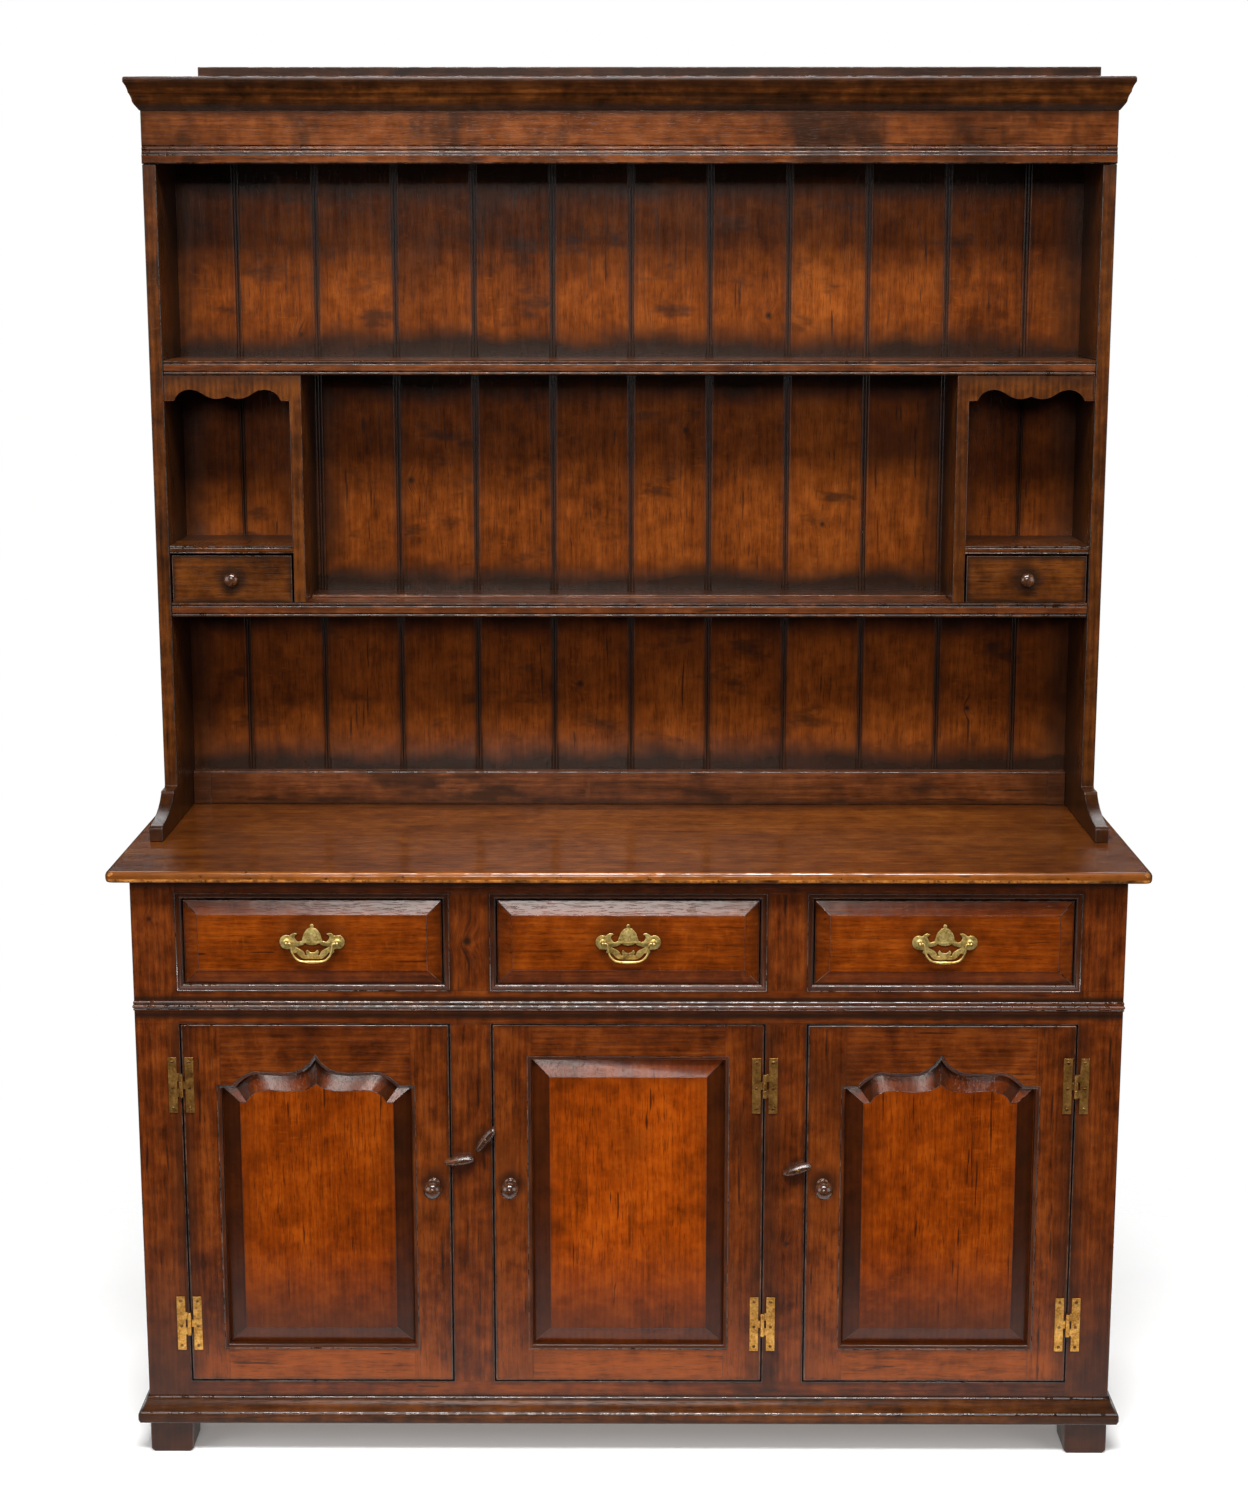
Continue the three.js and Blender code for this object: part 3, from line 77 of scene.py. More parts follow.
class Wire:
    """A value in a node tree. Sums on it add Math nodes."""

    __add__ = __radd__ = sum_with("ADD")
    __mul__ = __rmul__ = sum_with("MULTIPLY")
    __sub__, __rsub__ = sum_with("SUBTRACT"), sum_with("SUBTRACT", True)
    __truediv__, __pow__ = sum_with("DIVIDE"), sum_with("POWER")
    size, floor, root = sum_with("ABSOLUTE"), sum_with("FLOOR"), sum_with("SQRT")
    least, most = sum_with("MINIMUM"), sum_with("MAXIMUM")
    times, moved = sum_with("MULTIPLY", kind="VectorMath"), sum_with("ADD", kind="VectorMath")

    def __init__(self, tree, socket=None):
        self.tree = tree
        self.socket = socket

    def node(self, kind, settings=None, inputs=None, output=0):
        """Adds a node: first its settings, then the values or links of its sockets."""
        made = self.tree.nodes.new(kind)
        for name, value in (settings or {}).items():
            setattr(made, name, value)
        for name, value in (inputs or {}).items():
            if isinstance(value, Wire):
                self.tree.links.new(value.socket, made.inputs[name])
            else:
                made.inputs[name].default_value = value
        return Wire(self.tree, made.outputs[output])

    def ramp(self, low, high):
        """0 below low and 1 above high, with a soft step between them; high may be the smaller."""
        if low > high:
            return 1 - self.ramp(high, low)
        settings = {"interpolation_type": "SMOOTHSTEP"}
        return self.node("ShaderNodeMapRange", settings, {0: self, 1: low, 2: high})

    def axis(self, name):
        return self.node("ShaderNodeSeparateXYZ", None, {0: self}, name)

    def towards(self, other, amount):
        """This colour mixed with another by an amount from 0 to 1."""
        settings = {"data_type": "RGBA"}
        return self.node("ShaderNodeMix", settings, {0: amount, 6: self, 7: other}, 2)

    def noise(self, scale, detail=2.0, roughness=0.5, distortion=0.0):
        values = {"Vector": self, "Scale": scale, "Detail": detail}
        values.update({"Roughness": roughness, "Distortion": distortion})
        return self.node("ShaderNodeTexNoise", None, values)

    def coloured(self, places, colours):
        """This value as a colour: the colours at these places, and mixes between them."""
        made = self.node("ShaderNodeValToRGB", None, {0: self})
        stops = made.socket.node.color_ramp.elements
        while len(stops) < len(places):
            stops.new(1.0)
        for stop, place, colour in zip(stops, places, colours):
            stop.position = place
            stop.color = (*colour, 1)
        return made


class Finish:
    """A material with its shader, and the place and facing of each point in the dresser at rest."""

    def __init__(self, name, **constants):
        self.material = bpy.data.materials.new(name)
        self.material.use_nodes = True
        tree = self.material.node_tree
        self.shader = tree.nodes["Principled BSDF"]
        self.start = Wire(tree)
        self.place = self.start.node("ShaderNodeTexCoord", None, None, "Object")
        self.facing = self.start.node("ShaderNodeTexCoord", None, None, "Normal")
        self.x, self.y, self.z = (self.place.axis(name) for name in "XYZ")
        for socket, value in constants.items():
            self.shader.inputs[socket.replace("_", " ")].default_value = value

    def feed(self, **links):
        for socket, wire in links.items():
            target = self.shader.inputs[socket.replace("_", " ")]
            self.start.tree.links.new(wire.socket, target)

    def relief(self, height):
        """Feeds the normal from a height in millimetres."""
        values = {"Strength": 1.0, "Distance": MM, "Height": height}
        self.feed(Normal=self.start.node("ShaderNodeBump", None, values))


print("the shader sums are ready")

# %% [markdown]
# ## Oak
#
# Sawn oak shows long streaks that run with the grain, short dark pores, and a broad figure where
# the saw crossed the rings. Stain and wax sit deeper in the hollows, and shade is painted there
# too, so bevels, corners and joints are almost black, while the middle of a panel is rubbed back
# to a warm orange. The surface was planed by hand, so its shine wavers.
#
# One function makes all of it from noise that is stretched along the grain. Each board gets a seed
# of its own, because two boards that share one streak look printed. Masks for dirt and painted
# shade, wear and gloss are written beside the part that they belong to.

# %% The colours of the stain
WARM = [(0.068, 0.0105, 0.0008), (0.172, 0.0275, 0.0014), (0.290, 0.0550, 0.0034)]
GLOWING = [(0.092, 0.0150, 0.0010), (0.232, 0.0370, 0.0018), (0.375, 0.0730, 0.0042)]
FRONT = [(0.056, 0.0098, 0.0010), (0.140, 0.0245, 0.0018), (0.240, 0.0500, 0.0040)]
BROWN = [(0.032, 0.0062, 0.0010), (0.092, 0.0178, 0.0024), (0.168, 0.0370, 0.0050)]
TOP = [(0.058, 0.0140, 0.0020), (0.118, 0.0298, 0.0040), (0.192, 0.0560, 0.0076)]
BACK = [(0.044, 0.0094, 0.0015), (0.116, 0.0262, 0.0034), (0.200, 0.0500, 0.0070)]
DUSKY = [(0.006, 0.0024, 0.0010), (0.018, 0.0056, 0.0018), (0.040, 0.0120, 0.0034)]
RAIL = [(0.034, 0.0086, 0.0024), (0.074, 0.0200, 0.0053), (0.130, 0.0380, 0.0105)]
BARE = [(0.110, 0.0530, 0.0220), (0.205, 0.1080, 0.0480), (0.300, 0.1700, 0.0820)]
RUBBED = [(0.022, 0.0070, 0.0020), (0.080, 0.0240, 0.0060), (0.190, 0.0720, 0.0240)]
FRAME_EDGE = [(0.010, 0.0040, 0.0020), (0.045, 0.0140, 0.0040), (0.130, 0.0480, 0.0150)]
RUBBED_TOP = [(0.100, 0.0310, 0.0055), (0.400, 0.1450, 0.0260), (0.620, 0.2700, 0.0600)]
CORNICE = [(0.010, 0.0032, 0.0009), (0.036, 0.0100, 0.0021), (0.090, 0.0260, 0.0050)]
SMOKED = [(0.016, 0.0042, 0.0008), (0.050, 0.0132, 0.0020), (0.100, 0.0280, 0.0042)]
# Near black, for dirt and for painted shade.
GRIME_AND_SHADE = (0.0075, 0.0034, 0.0016, 1)
GRAIN = {"x": (0.06, 1, 1), "y": (1, 0.06, 1), "z": (1, 1, 0.06)}
FLECK = {"x": (1, 1, 0.25), "y": (1, 1, 0.25), "z": (0.3, 1, 1)}
print("stain tones from", WARM[0], "to", GLOWING[2])


# %% Masks for hollows, edges and joints
def near_edges(finish, low, high, reach, ends_only=False):
    """1 at the edges of a box and 0 from reach metres inside it, with a wavering line."""
    sway = (finish.place.noise(28, 3) - 0.5) * reach
    inner = (finish.x - low.x).least(high.x - finish.x)
    if not ends_only:
        inner = inner.least((finish.z - low.z).least(high.z - finish.z))
    return (inner + sway).ramp(reach, 0)


def round_hole(finish, low, high, reach):
    """1 at the rim of an opening in X and Z, and 0 from reach metres outside it."""
    across = (low[0] - finish.x).most(finish.x - high[0])
    up = (low[1] - finish.z).most(finish.z - high[1])
    sway = (finish.place.noise(30, 3) - 0.5) * reach
    return (across.most(up) + sway).ramp(reach, 0)


def arch_height(finish, middle, point):
    """The height of an ogee arch over each point, from its middle and its topmost point."""
    rise, drop = 0.0247, 0.0198
    out = (finish.x - middle).size()
    peak = (1 - out / 0.045).most(0) ** 2.7
    fall = ((out - 0.086) / 0.035).most(0).least(1)
    return point - rise + peak * rise - fall * fall * drop


def round_arch(finish, middle, half, foot, point, reach):
    """1 at the rim of an arched opening, and 0 from reach metres outside it."""
    across = (finish.x - middle).size() - half
    up = (finish.z - arch_height(finish, middle, point)).most(foot - finish.z)
    sway = (finish.place.noise(30, 3) - 0.5) * reach
    return (across.most(up) + sway).ramp(reach, 0)


def round_spot(finish, x, z, inner, outer):
    """1 within inner metres of a spot on the front, and 0 from outer metres away."""
    away = (finish.x - x) * (finish.x - x) + (finish.z - z) * (finish.z - z)
    return away.root().ramp(outer, inner)


def band(at, middle, reach):
    """1 on a level or upright line, and 0 from reach metres away."""
    return (at - middle).size().ramp(reach, 0)


def tilted(finish):
    """1 where a front surface leans back, as on a bevel, and 0 where it is flat."""
    return finish.facing.axis("Y").size().ramp(0.996, 0.98)


def past(at, line):
    """1 over a line and 0 under it, with the narrow step of a joint between them."""
    return at.ramp(line - 0.0004, line + 0.0004)


def between(at, low, high):
    return past(at, low) * (1 - past(at, high))


def boards(at, pitch):
    """The number of each point's board, and how far it is from that board's middle."""
    within = at / pitch
    number = within.floor()
    return number, (within - number - 0.5).size()


def any_of(masks):
    """Masks laid over each other."""
    whole = masks[0]
    for mask in masks[1:]:
        whole = whole.most(mask)
    return whole


# The masks mark dirt, and also painted shade where shade falls.
print("masks: 1 where the dirt lies and 0 where the oak is clean")


# %% Oak from its grain, tones, dirt and painted shade
def oak(name, tones, way, upright=None, dirt_and_shade=None, rough=0.33, board=None, knots=(),
        spread=0.10, worn=None, heart=None, shine=0.26, streaky=0.12, gloss=None):
    """Oak with its grain along way, or along Z where the upright mask is 1.

    upright, dirt_and_shade, worn and gloss make masks, board numbers the boards, and heart is the
    middle of their growth rings. dirt_and_shade darkens for dirt and as painted shade. knots are
    (x, z, size); spread is how far the tones are blurred together.
    """
    finish = Finish(name, Specular_IOR_Level=shine, Coat_Roughness=0.07)
    if gloss is not None:
        finish.feed(Coat_Weight=gloss(finish))
    draw = random.Random(name)
    shift = [draw.uniform(-9, 9) for _ in range(3)]
    stretch = GRAIN[way]
    if upright is not None:
        mask = upright(finish)
        settings = {"data_type": "VECTOR"}
        stretch = mask.node("ShaderNodeMix", settings, {0: mask, 4: stretch, 5: GRAIN["z"]}, 1)
    at = finish.place
    for x, z, size in knots:
        at = bent_round(finish, at, x, z, size)
    at = at.moved(shift)
    if board is not None:
        own = board(finish)
        chance = own.node("ShaderNodeTexWhiteNoise", {"noise_dimensions": "1D"}, {"W": own})
        at = at.moved(own.node("ShaderNodeCombineXYZ", None, {1: own * 3.7, 2: own * 1.9}))
    run = at.times(stretch)
    figure = run.noise(11, 3, 0.5, 1.2)
    streaks = run.noise(130, 4, 0.6)
    fine = run.noise(360, 3, 0.7)
    core = finish.place.moved([draw.uniform(-0.4, 0.4) for _ in range(3)])
    if heart is not None:
        core = heart(finish, own, chance)
    values = {"Vector": core.times(stretch), "Scale": 34, "Distortion": 2.4}
    values.update({"Detail": 3, "Detail Scale": 2.0})
    settings = {"wave_type": "RINGS", "rings_direction": "Z" if name.startswith("worktop") else "Y"}
    rings = run.node("ShaderNodeTexWave", settings, values, "Fac")
    stain = at.noise(8, 4, 0.6)
    mottle = at.noise(36, 3, 0.6)
    pores = run.noise(760, 1).ramp(0.56, 0.68)
    flecks = at.times(FLECK[way]).noise(150, 2).ramp(0.58, 0.70) * at.noise(6, 1).ramp(0.48, 0.62)
    tone = figure * 0.17 + streaks * streaky + fine * 0.16 + stain * 0.26
    tone = tone + mottle * (0.41 - streaky) + (rings - 0.5) * 0.035
    if board is not None:
        tone = tone + (chance - 0.5) * 0.07
    colour = tone.coloured((0.5 - spread, 0.5, 0.5 + spread), tones)
    colour = colour.towards((*tones[2], 1), flecks * 0.30)
    if worn is not None:
        pale = [v * 1.25 for v in tones[2]]
        patchy = streaks * 1.6 + mottle * 1.2 - 0.72
        colour = colour.towards((*pale, 1), worn(finish) * patchy)
    specks = run.times((2.4, 2.4, 2.4)).noise(60, 3).ramp(0.66, 0.71)
    specks = specks.most(run.noise(95, 3).ramp(0.65, 0.72) * 0.5)
    smudge = at.noise(4.5, 4, 0.6).ramp(0.58, 0.74) * 0.5
    dark = (pores * 0.42).most(specks * 0.75).most(smudge)
    # dirt_and_shade darkens towards GRIME_AND_SHADE: real dirt, and painted shade in hollows, under
    # things and on faces turned from the front.
    if dirt_and_shade is not None:
        dark = dark.most(dirt_and_shade(finish) * (0.72 + stain * 0.5))
    for x, z, size in knots:
        dark = dark.most(round_spot(finish, x, z, size * 0.1, size) * (0.5 + mottle * 0.8))
    colour = colour.towards(GRIME_AND_SHADE, dark.least(0.96))
    finish.feed(Base_Color=colour, Roughness=rough + streaks * 0.12 - 0.13 + dark * 0.08)
    waver = at.noise(22, 2)
    finish.relief(waver * 0.28 + streaks * 0.05 - pores * 0.05 + mottle * 0.05)
    return finish.material


def bent_round(finish, at, x, z, size):
    """The grain pushed aside by a knot."""
    push = round_spot(finish, x, z, 0, size * 3) * size
    away = finish.start.node("ShaderNodeCombineXYZ", None, {0: push, 2: push})
    return at.moved(away)


print("oak is ready")

# %% [markdown]
# ## Rubbed edges
#
# No arris on an old dresser is sharp. Dusters and sleeves have rounded them and taken the stain
# off, so they catch the light in broken pale lines. Each part therefore gets a small bevel on its
# outer corners, with a finish of its own. Modifiers do it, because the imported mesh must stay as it
# is: its triangles are joined, flat ones are merged, and the corners that stand out are marked for
# the bevel.

# %% The finish of a rubbed edge
def rubbed_oak(name, tones, clean, shine):
    """Worn oak on an arris. clean is how little grime it keeps; upright ones get painted shade."""
    finish = Finish(name, Specular_IOR_Level=shine)
    at = finish.place
    wear = at.noise(46, 4, 0.65) * 0.6 + at.noise(210, 3, 0.6) * 0.4
    colour = wear.coloured((0.40, 0.52, 0.66), tones)
    nicks = at.noise(330, 2).ramp(0.60, 0.68)
    worn = at.noise(17, 3).ramp(0.62 - clean, 0.40 - clean)
    colour = colour.towards(GRIME_AND_SHADE, (nicks * 0.8).most(worn * 0.8).least(0.95))
    broken = at.noise(70, 3, 0.6).ramp(0.42, 0.53)
    # Arrises that face sideways are rougher and are painted dark: painted shade.
    aside = finish.facing.axis("X").size().ramp(0.25, 0.60)
    colour = colour.towards(GRIME_AND_SHADE, aside * 0.75)
    finish.feed(Base_Color=colour, Roughness=0.06 + wear * 0.10 + broken.most(aside) * 0.40)
    finish.relief(wear * 0.38 + at.noise(150, 2) * 0.24)
    return finish.material


rubbed = rubbed_oak("rubbed_edge", RUBBED, 0.0, 0.7)
rubbed_top = rubbed_oak("rubbed_worktop_edge", RUBBED_TOP, 0.10, 0.22)
rubbed_frame = rubbed_oak("rubbed_frame_edge", FRAME_EDGE, 0.0, 0.7)
rubbed_rack = rubbed_oak("rubbed_rack_edge", FRAME_EDGE, 0.0, 0.28)
rubbed_dusky = rubbed_oak("rubbed_dark_edge", [(0.010, 0.004, 0.002), *RUBBED[:2]], 0.0, 0.5)
print("five rubbed edges, from the dark rack to the pale worktop")


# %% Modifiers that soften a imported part
def geometry_group(name):
    group = bpy.data.node_groups.new(name, "GeometryNodeTree")
    for way in ("INPUT", "OUTPUT"):
        group.interface.new_socket("Geometry", in_out=way, socket_type="NodeSocketGeometry")
    start = Wire(group).node("NodeGroupInput")
    end = group.nodes.new("NodeGroupOutput")
    return group, start, end


def joined_faces():
    """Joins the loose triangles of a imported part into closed, smoothly shaded faces."""
    group, start, end = geometry_group("joined_faces")
    values = {"Geometry": start, "Name": "custom_normal"}
    bare = start.node("GeometryNodeRemoveAttribute", None, values)
    welded = bare.node("GeometryNodeMergeByDistance", None, {"Geometry": bare, "Distance": 1e-5})
    values = {"Geometry": welded, "Shade Smooth": True}
    smooth = welded.node("GeometryNodeSetShadeSmooth", None, values)
    group.links.new(smooth.socket, end.inputs[0])
    return group


def marked_corners(corner):
    """Marks the corners that stand out for the bevel, and keeps the hollow ones sharp."""
    group, start, end = geometry_group("marked_corners")
    turn = start.node("GeometryNodeInputMeshEdgeAngle", None, None, "Signed Angle")
    out = turn.node("FunctionNodeCompare", {"operation": "GREATER_THAN"}, {0: turn, 1: corner})
    hollow = turn.node("FunctionNodeCompare", {"operation": "LESS_THAN"}, {0: turn, 1: -corner})
    marks = {"bevel_weight_edge": ("FLOAT", out), "sharp_edge": ("BOOLEAN", hollow)}
    marked = start
    for name, (kind, mark) in marks.items():
        settings = {"data_type": kind, "domain": "EDGE"}
        values = {"Geometry": marked, "Name": name, "Value": mark}
        marked = marked.node("GeometryNodeStoreNamedAttribute", settings, values)
    group.links.new(marked.socket, end.inputs[0])
    return group


# The bevels of panels and drawer fronts turn by only 15 degrees, so their limit is lower.
CORNER, LOW_CORNER = math.radians(32), math.radians(12)
join_group = joined_faces()
mark_groups = {corner: marked_corners(corner) for corner in (CORNER, LOW_CORNER)}


def dress(name, finish, width, segments=2, edge=None, merge=True, corner=CORNER):
    """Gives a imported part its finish, and rounds its outer corners by width metres."""
    part = nodes[name]
    part.data.materials.clear()
    part.data.materials.append(finish)
    part.modifiers.new("joined", "NODES").node_group = join_group
    if merge:
        flat = part.modifiers.new("merged", "DECIMATE")
        flat.decimate_type = "DISSOLVE"
        flat.angle_limit = math.radians(0.3)
    part.modifiers.new("marked", "NODES").node_group = mark_groups[corner]
    bevel = part.modifiers.new("rounded", "BEVEL")
    bevel.limit_method = "WEIGHT"
    bevel.width = width
    bevel.segments = segments
    bevel.use_clamp_overlap = False
    if edge is not None:
        part.data.materials.append(edge)
        bevel.material = 1
    part.modifiers.new("shaded", "WEIGHTED_NORMAL").keep_sharp = True


print("corners over", round(math.degrees(CORNER)), "degrees are rounded")

# %% [markdown]
# ## The worktop
#
# Wide boards, planed flat and waxed more than the rest. The front edge is rounded over and rubbed
# pale, with dark dents. The line of light along it is broken too: more bump would only blur it, so
# it is a mask for an extra coat of polish.

# %% Worktop
WORKTOP_BOARD = 0.178
RACK_SIDE = 0.722
low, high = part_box("worktop")


def worktop_dirt_and_shade(finish):
    # Painted shade behind and round the rack's sides, dents of dirt at the front, and darker ends.
    behind = finish.y.ramp(0.16, 0.235)
    dents = finish.place.noise(75, 4, 0.7).ramp(0.60, 0.68) * finish.y.ramp(-0.19, -0.235)
    under_rack = (finish.x.size() - RACK_SIDE).size().ramp(0.02, 0.0) * finish.y.ramp(-0.06, -0.03)
    return any_of([behind * 0.7, dents, under_rack * 0.8, finish.x.size().ramp(0.30, 0.74) * 0.38])


def worktop_worn(finish):
    return finish.y.ramp(-0.234, -0.240)


def worktop_gloss(finish):
    """The broken line of light along the front arris, strongest at the middle."""
    broken = finish.place.times((0.35, 1, 1)).noise(90, 4, 0.65).ramp(0.42, 0.52)
    front = finish.y.ramp(-0.233, -0.239) * finish.facing.axis("Z").ramp(0.15, 0.35)
    return broken * front * (0.15 + finish.x.size().ramp(0.62, 0.20) * 0.75)


def worktop_board(finish):
    return boards(finish.y, WORKTOP_BOARD)[0]


finish = oak("worktop_oak", TOP, "x", dirt_and_shade=worktop_dirt_and_shade, rough=0.24, board=worktop_board,
             worn=worktop_worn, shine=0.13, streaky=0.20, gloss=worktop_gloss)
dress("worktop", finish, 3.2 * MM, 4, rubbed_top)
print("worktop", [round(v, 3) for v in high - low])

# %% [markdown]
# ## Face frame, plinth and ends of the base
#
# Stiles run up and rails run across, and where they meet the grain turns at once and a fine dark
# line shows the joint. Under the worktop, along the waist moulding and at the rims of the openings
# the frame is darkened, for grime and as painted shade, so those places are masks in the frame's
# own finish.

# %% Face frame
OUTER_STILE = 0.666
DRAWER_BAND = (0.7362, 0.8827)
DOOR_BAND = (0.1165, 0.6842)
WAIST = (0.7045, 0.7205)
KNOBS = {"left": (-0.2915, 0.4357), "middle": (-0.1768, 0.4357), "right": (0.2915, 0.4357)}
BUTTONS = {"left": (-0.25275, 0.4738), "middle": (-0.21295, 0.5072), "right": (0.25295, 0.4605)}
BAY_EDGES = ((-0.666, -0.265), (-0.2033, 0.2033), (0.265, 0.666))
HINGE_LINES = (-0.668, 0.209, 0.668)
JOINT = 0.0006


def frame_upright(finish):
    stile = past(finish.x.size(), OUTER_STILE)
    short = between(finish.z, *DRAWER_BAND).most(between(finish.z, *DOOR_BAND))
    return stile.most(short) * (1 - between(finish.z, *WAIST))


def frame_dirt_and_shade(finish):
    """Joints, grime and painted shade: under the worktop, by the waist, plinth and openings."""
    out, below = finish.x.size(), finish.z.ramp(0.70, 0.68)
    masks = [finish.z.ramp(0.884, 0.900) * 0.85, finish.z.ramp(0.104, 0.090) * 0.8]
    masks += [band(finish.z, 0.6985, 0.013) * 0.95, band(finish.z, 0.7225, 0.010) * 0.9]
    masks += [band(finish.z, at, JOINT) * 0.8 for at in (*DRAWER_BAND, *DOOR_BAND)]
    masks += [band(out, OUTER_STILE, JOINT) * 0.8]
    masks += [band(finish.x, line, 0.028) * below * 0.55 for line in HINGE_LINES]
    for left, right in BAY_EDGES:
        for (foot, top), reach, share in ((DRAWER_BAND, 0.009, 0.7), (DOOR_BAND, 0.007, 0.6)):
            masks.append(round_hole(finish, (left, foot), (right, top), reach) * share)
    for x, z in BUTTONS.values():
        masks.append(round_spot(finish, x, z - 0.006, 0.010, 0.032) * 0.6)
    # Faces turned away from the front are painted dark, as shade.
    masks.append(finish.facing.axis("Y").size().ramp(0.8, 0.3) * 0.6)
    masks.append(out.ramp(0.50, 0.74) * finish.z.ramp(0.42, 0.10) * 0.75)
    return any_of(masks)


knots = [(-0.2380, 0.812, 0.012), (-0.705, 0.845, 0.006), (0.2390, 0.34, 0.007)]
finish = oak("face_frame_oak", BROWN, "x", frame_upright, frame_dirt_and_shade, 0.32, knots=knots)
dress("face_frame", finish, 1.3 * MM, 3, rubbed_frame)


# %% Plinth moulding and panelled ends
def plinth_dirt_and_shade(finish):
    # Painted shade in the hollow of the moulding and at its foot; the ends are darker, and the
    # patches are dirt.
    hollow = band(finish.z, 0.0925, 0.006).most(finish.x.size().ramp(0.48, 0.74) * 0.6)
    below = finish.z.ramp(0.060, 0.053) * 0.8
    patches = finish.place.times((1, 1, 2)).noise(13, 3).ramp(0.56, 0.70)
    return any_of([hollow, below, patches * 0.7])


finish = oak("plinth_oak", SMOKED, "x", dirt_and_shade=plinth_dirt_and_shade, rough=0.26, shine=0.16)
dress("plinth_moulding", finish, 1.6 * MM, 3, rubbed_frame)
END_STILES = (-0.130, 0.193)
END_PANELS = ((0.155, 0.677), (0.747, 0.846))


def end_upright(finish):
    behind = past(finish.y, END_STILES[0])
    stile = (1 - behind).most(past(finish.y, END_STILES[1]))
    panels = between(finish.z, *END_PANELS[0]).most(between(finish.z, *END_PANELS[1]))
    return stile.most(behind * panels)


def end_shade(finish):
    # Painted shade on faces that do not point straight out sideways, and under the worktop; darker
    # at the foot and the back too.
    leaning = finish.facing.axis("X").size().ramp(0.995, 0.95)
    masks = [leaning * 0.85, finish.z.ramp(0.870, 0.904) * 0.8, finish.z.ramp(0.07, 0.0) * 0.75]
    return any_of(masks + [finish.y.ramp(0.20, 0.25) * 0.6])


for side in ("left", "right"):
    finish = oak(side + "_end_oak", BROWN, "y", end_upright, end_shade, 0.34)
    dress(side + "_end", finish, 1.2 * MM, 2, rubbed_dusky)
print("plinth and ends are finished")

# %% [markdown]
# ## Doors
#
# A door is a frame round a fielded panel, whose bevel slopes down into the frame's groove. The
# outer two have an ogee arch at the top. The bevels are painted nearly black, mostly as shade, and
# the field glows. The frame is darkest round the panel, the knob and the button and along its
# hinges, for grime and as painted shade, and its faces turned from the front are painted dark.


# %% Door frames
DOOR_STILE = 0.058


def door_finish(bay):
    low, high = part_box(bay + "_door_frame")
    panel_low, panel_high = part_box(bay + "_door_panel")
    middle, half = (low.x + high.x) / 2, (high.x - low.x) / 2
    inner = half - DOOR_STILE
    foot = panel_low.z + 0.0025
    hung = -1 if bay == "left" else 1

    def upright(finish):
        return past((finish.x - middle).size(), inner)

    def dirt_and_shade(finish):
        if bay == "middle":
            hole = ((low.x + DOOR_STILE, foot), (high.x - DOOR_STILE, panel_high.z - 0.007))
            rim = round_hole(finish, *hole, 0.010)
        else:
            rim = round_arch(finish, middle, inner, foot, panel_high.z - 0.0085, 0.009)
        # Grime and painted shade in the rim of the panel, at the edges, near the top and on the
        # hinge side; painted shade on faces turned from the front; darker round the knob and the
        # button.
        return any_of([
            rim * 0.75,
            near_edges(finish, low, high, 0.008) * 0.6,
            finish.z.ramp(0.62, 0.70) * 0.2,
            band((finish.x - middle).size(), inner, JOINT) * 0.7,
            round_spot(finish, *KNOBS[bay], 0.010, 0.034) * 0.8,
            round_spot(finish, *BUTTONS[bay], 0.006, 0.026) * 0.6,
            finish.facing.axis("Y").size().ramp(0.9, 0.4) * 0.85,
            ((finish.x - middle) * hung).ramp(half - 0.034, half + 0.004) * 0.62,
        ])

    def worn(finish):
        foot = finish.z.ramp(0.21, 0.14) * (1 - upright(finish) * 0.45)
        return foot.most(round_spot(finish, *KNOBS[bay], 0.03, 0.11) * 0.5)

    return oak(bay + "_door_oak", BROWN, "x", upright, dirt_and_shade, 0.31, worn=worn)


for bay in BAYS:
    dress(bay + "_door_frame", door_finish(bay), 2.2 * MM, 3, rubbed)
print("door stiles", round(DOOR_STILE / MM), "mm wide")


# %% Door panels
def panel_finish(bay):
    low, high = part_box(bay + "_door_panel")

    def dirt_and_shade(finish):
        # The bevels are painted dark as shade, the side bevels most; the panel is also darker near
        # its edges and towards the bottom.
        aside = finish.facing.axis("X").size().ramp(0.10, 0.18)
        masks = [tilted(finish) * (0.56 + aside * 0.32), finish.z.ramp(0.360, 0.180) * 0.72]
        return any_of(masks + [near_edges(finish, low, high, 0.080) * 0.52])

    tones = GLOWING if bay == "middle" else WARM
    return oak(bay + "_panel_oak", tones, "z", dirt_and_shade=dirt_and_shade, rough=0.19, spread=0.14, streaky=0.06)


for bay in BAYS:
    dress(bay + "_door_panel", panel_finish(bay), 0.6 * MM, 2, rubbed_dusky, corner=LOW_CORNER)
print("doors are finished")

# %% [markdown]
# ## Drawers
#
# Each front is one board with a wide bevel worked round it, so that the field stands proud. The
# boxes behind are plain oak that was never stained: it has greyed a little and has no polish.


# %% Drawer fronts and boxes
GRIP_LEVEL = 0.808
BACK_BOARD = 0.1475


def front_finish(bay):
    low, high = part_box(bay + "_drawer_front")
    middle = (low.x + high.x) / 2

    def dirt_and_shade(finish):
        # The bevel is painted a little darker as shade; the edges and ends are darker, and the ring
        # round the handle holds grime and the handle's painted shadow.
        masks = [tilted(finish) * 0.25, near_edges(finish, low, high, 0.007) * 0.8]
        masks.append(near_edges(finish, low, high, 0.040, True) * 0.50)
        masks.append(round_spot(finish, middle, GRIP_LEVEL, 0.030, 0.070) * 0.50)
        return any_of(masks)

    return oak(bay + "_front_oak", FRONT, "x", dirt_and_shade=dirt_and_shade, rough=0.19, spread=0.12)


inside = oak("bare_oak", BARE, "x", rough=0.62)


def base_board(finish):
    return boards(finish.x, BACK_BOARD)[0]


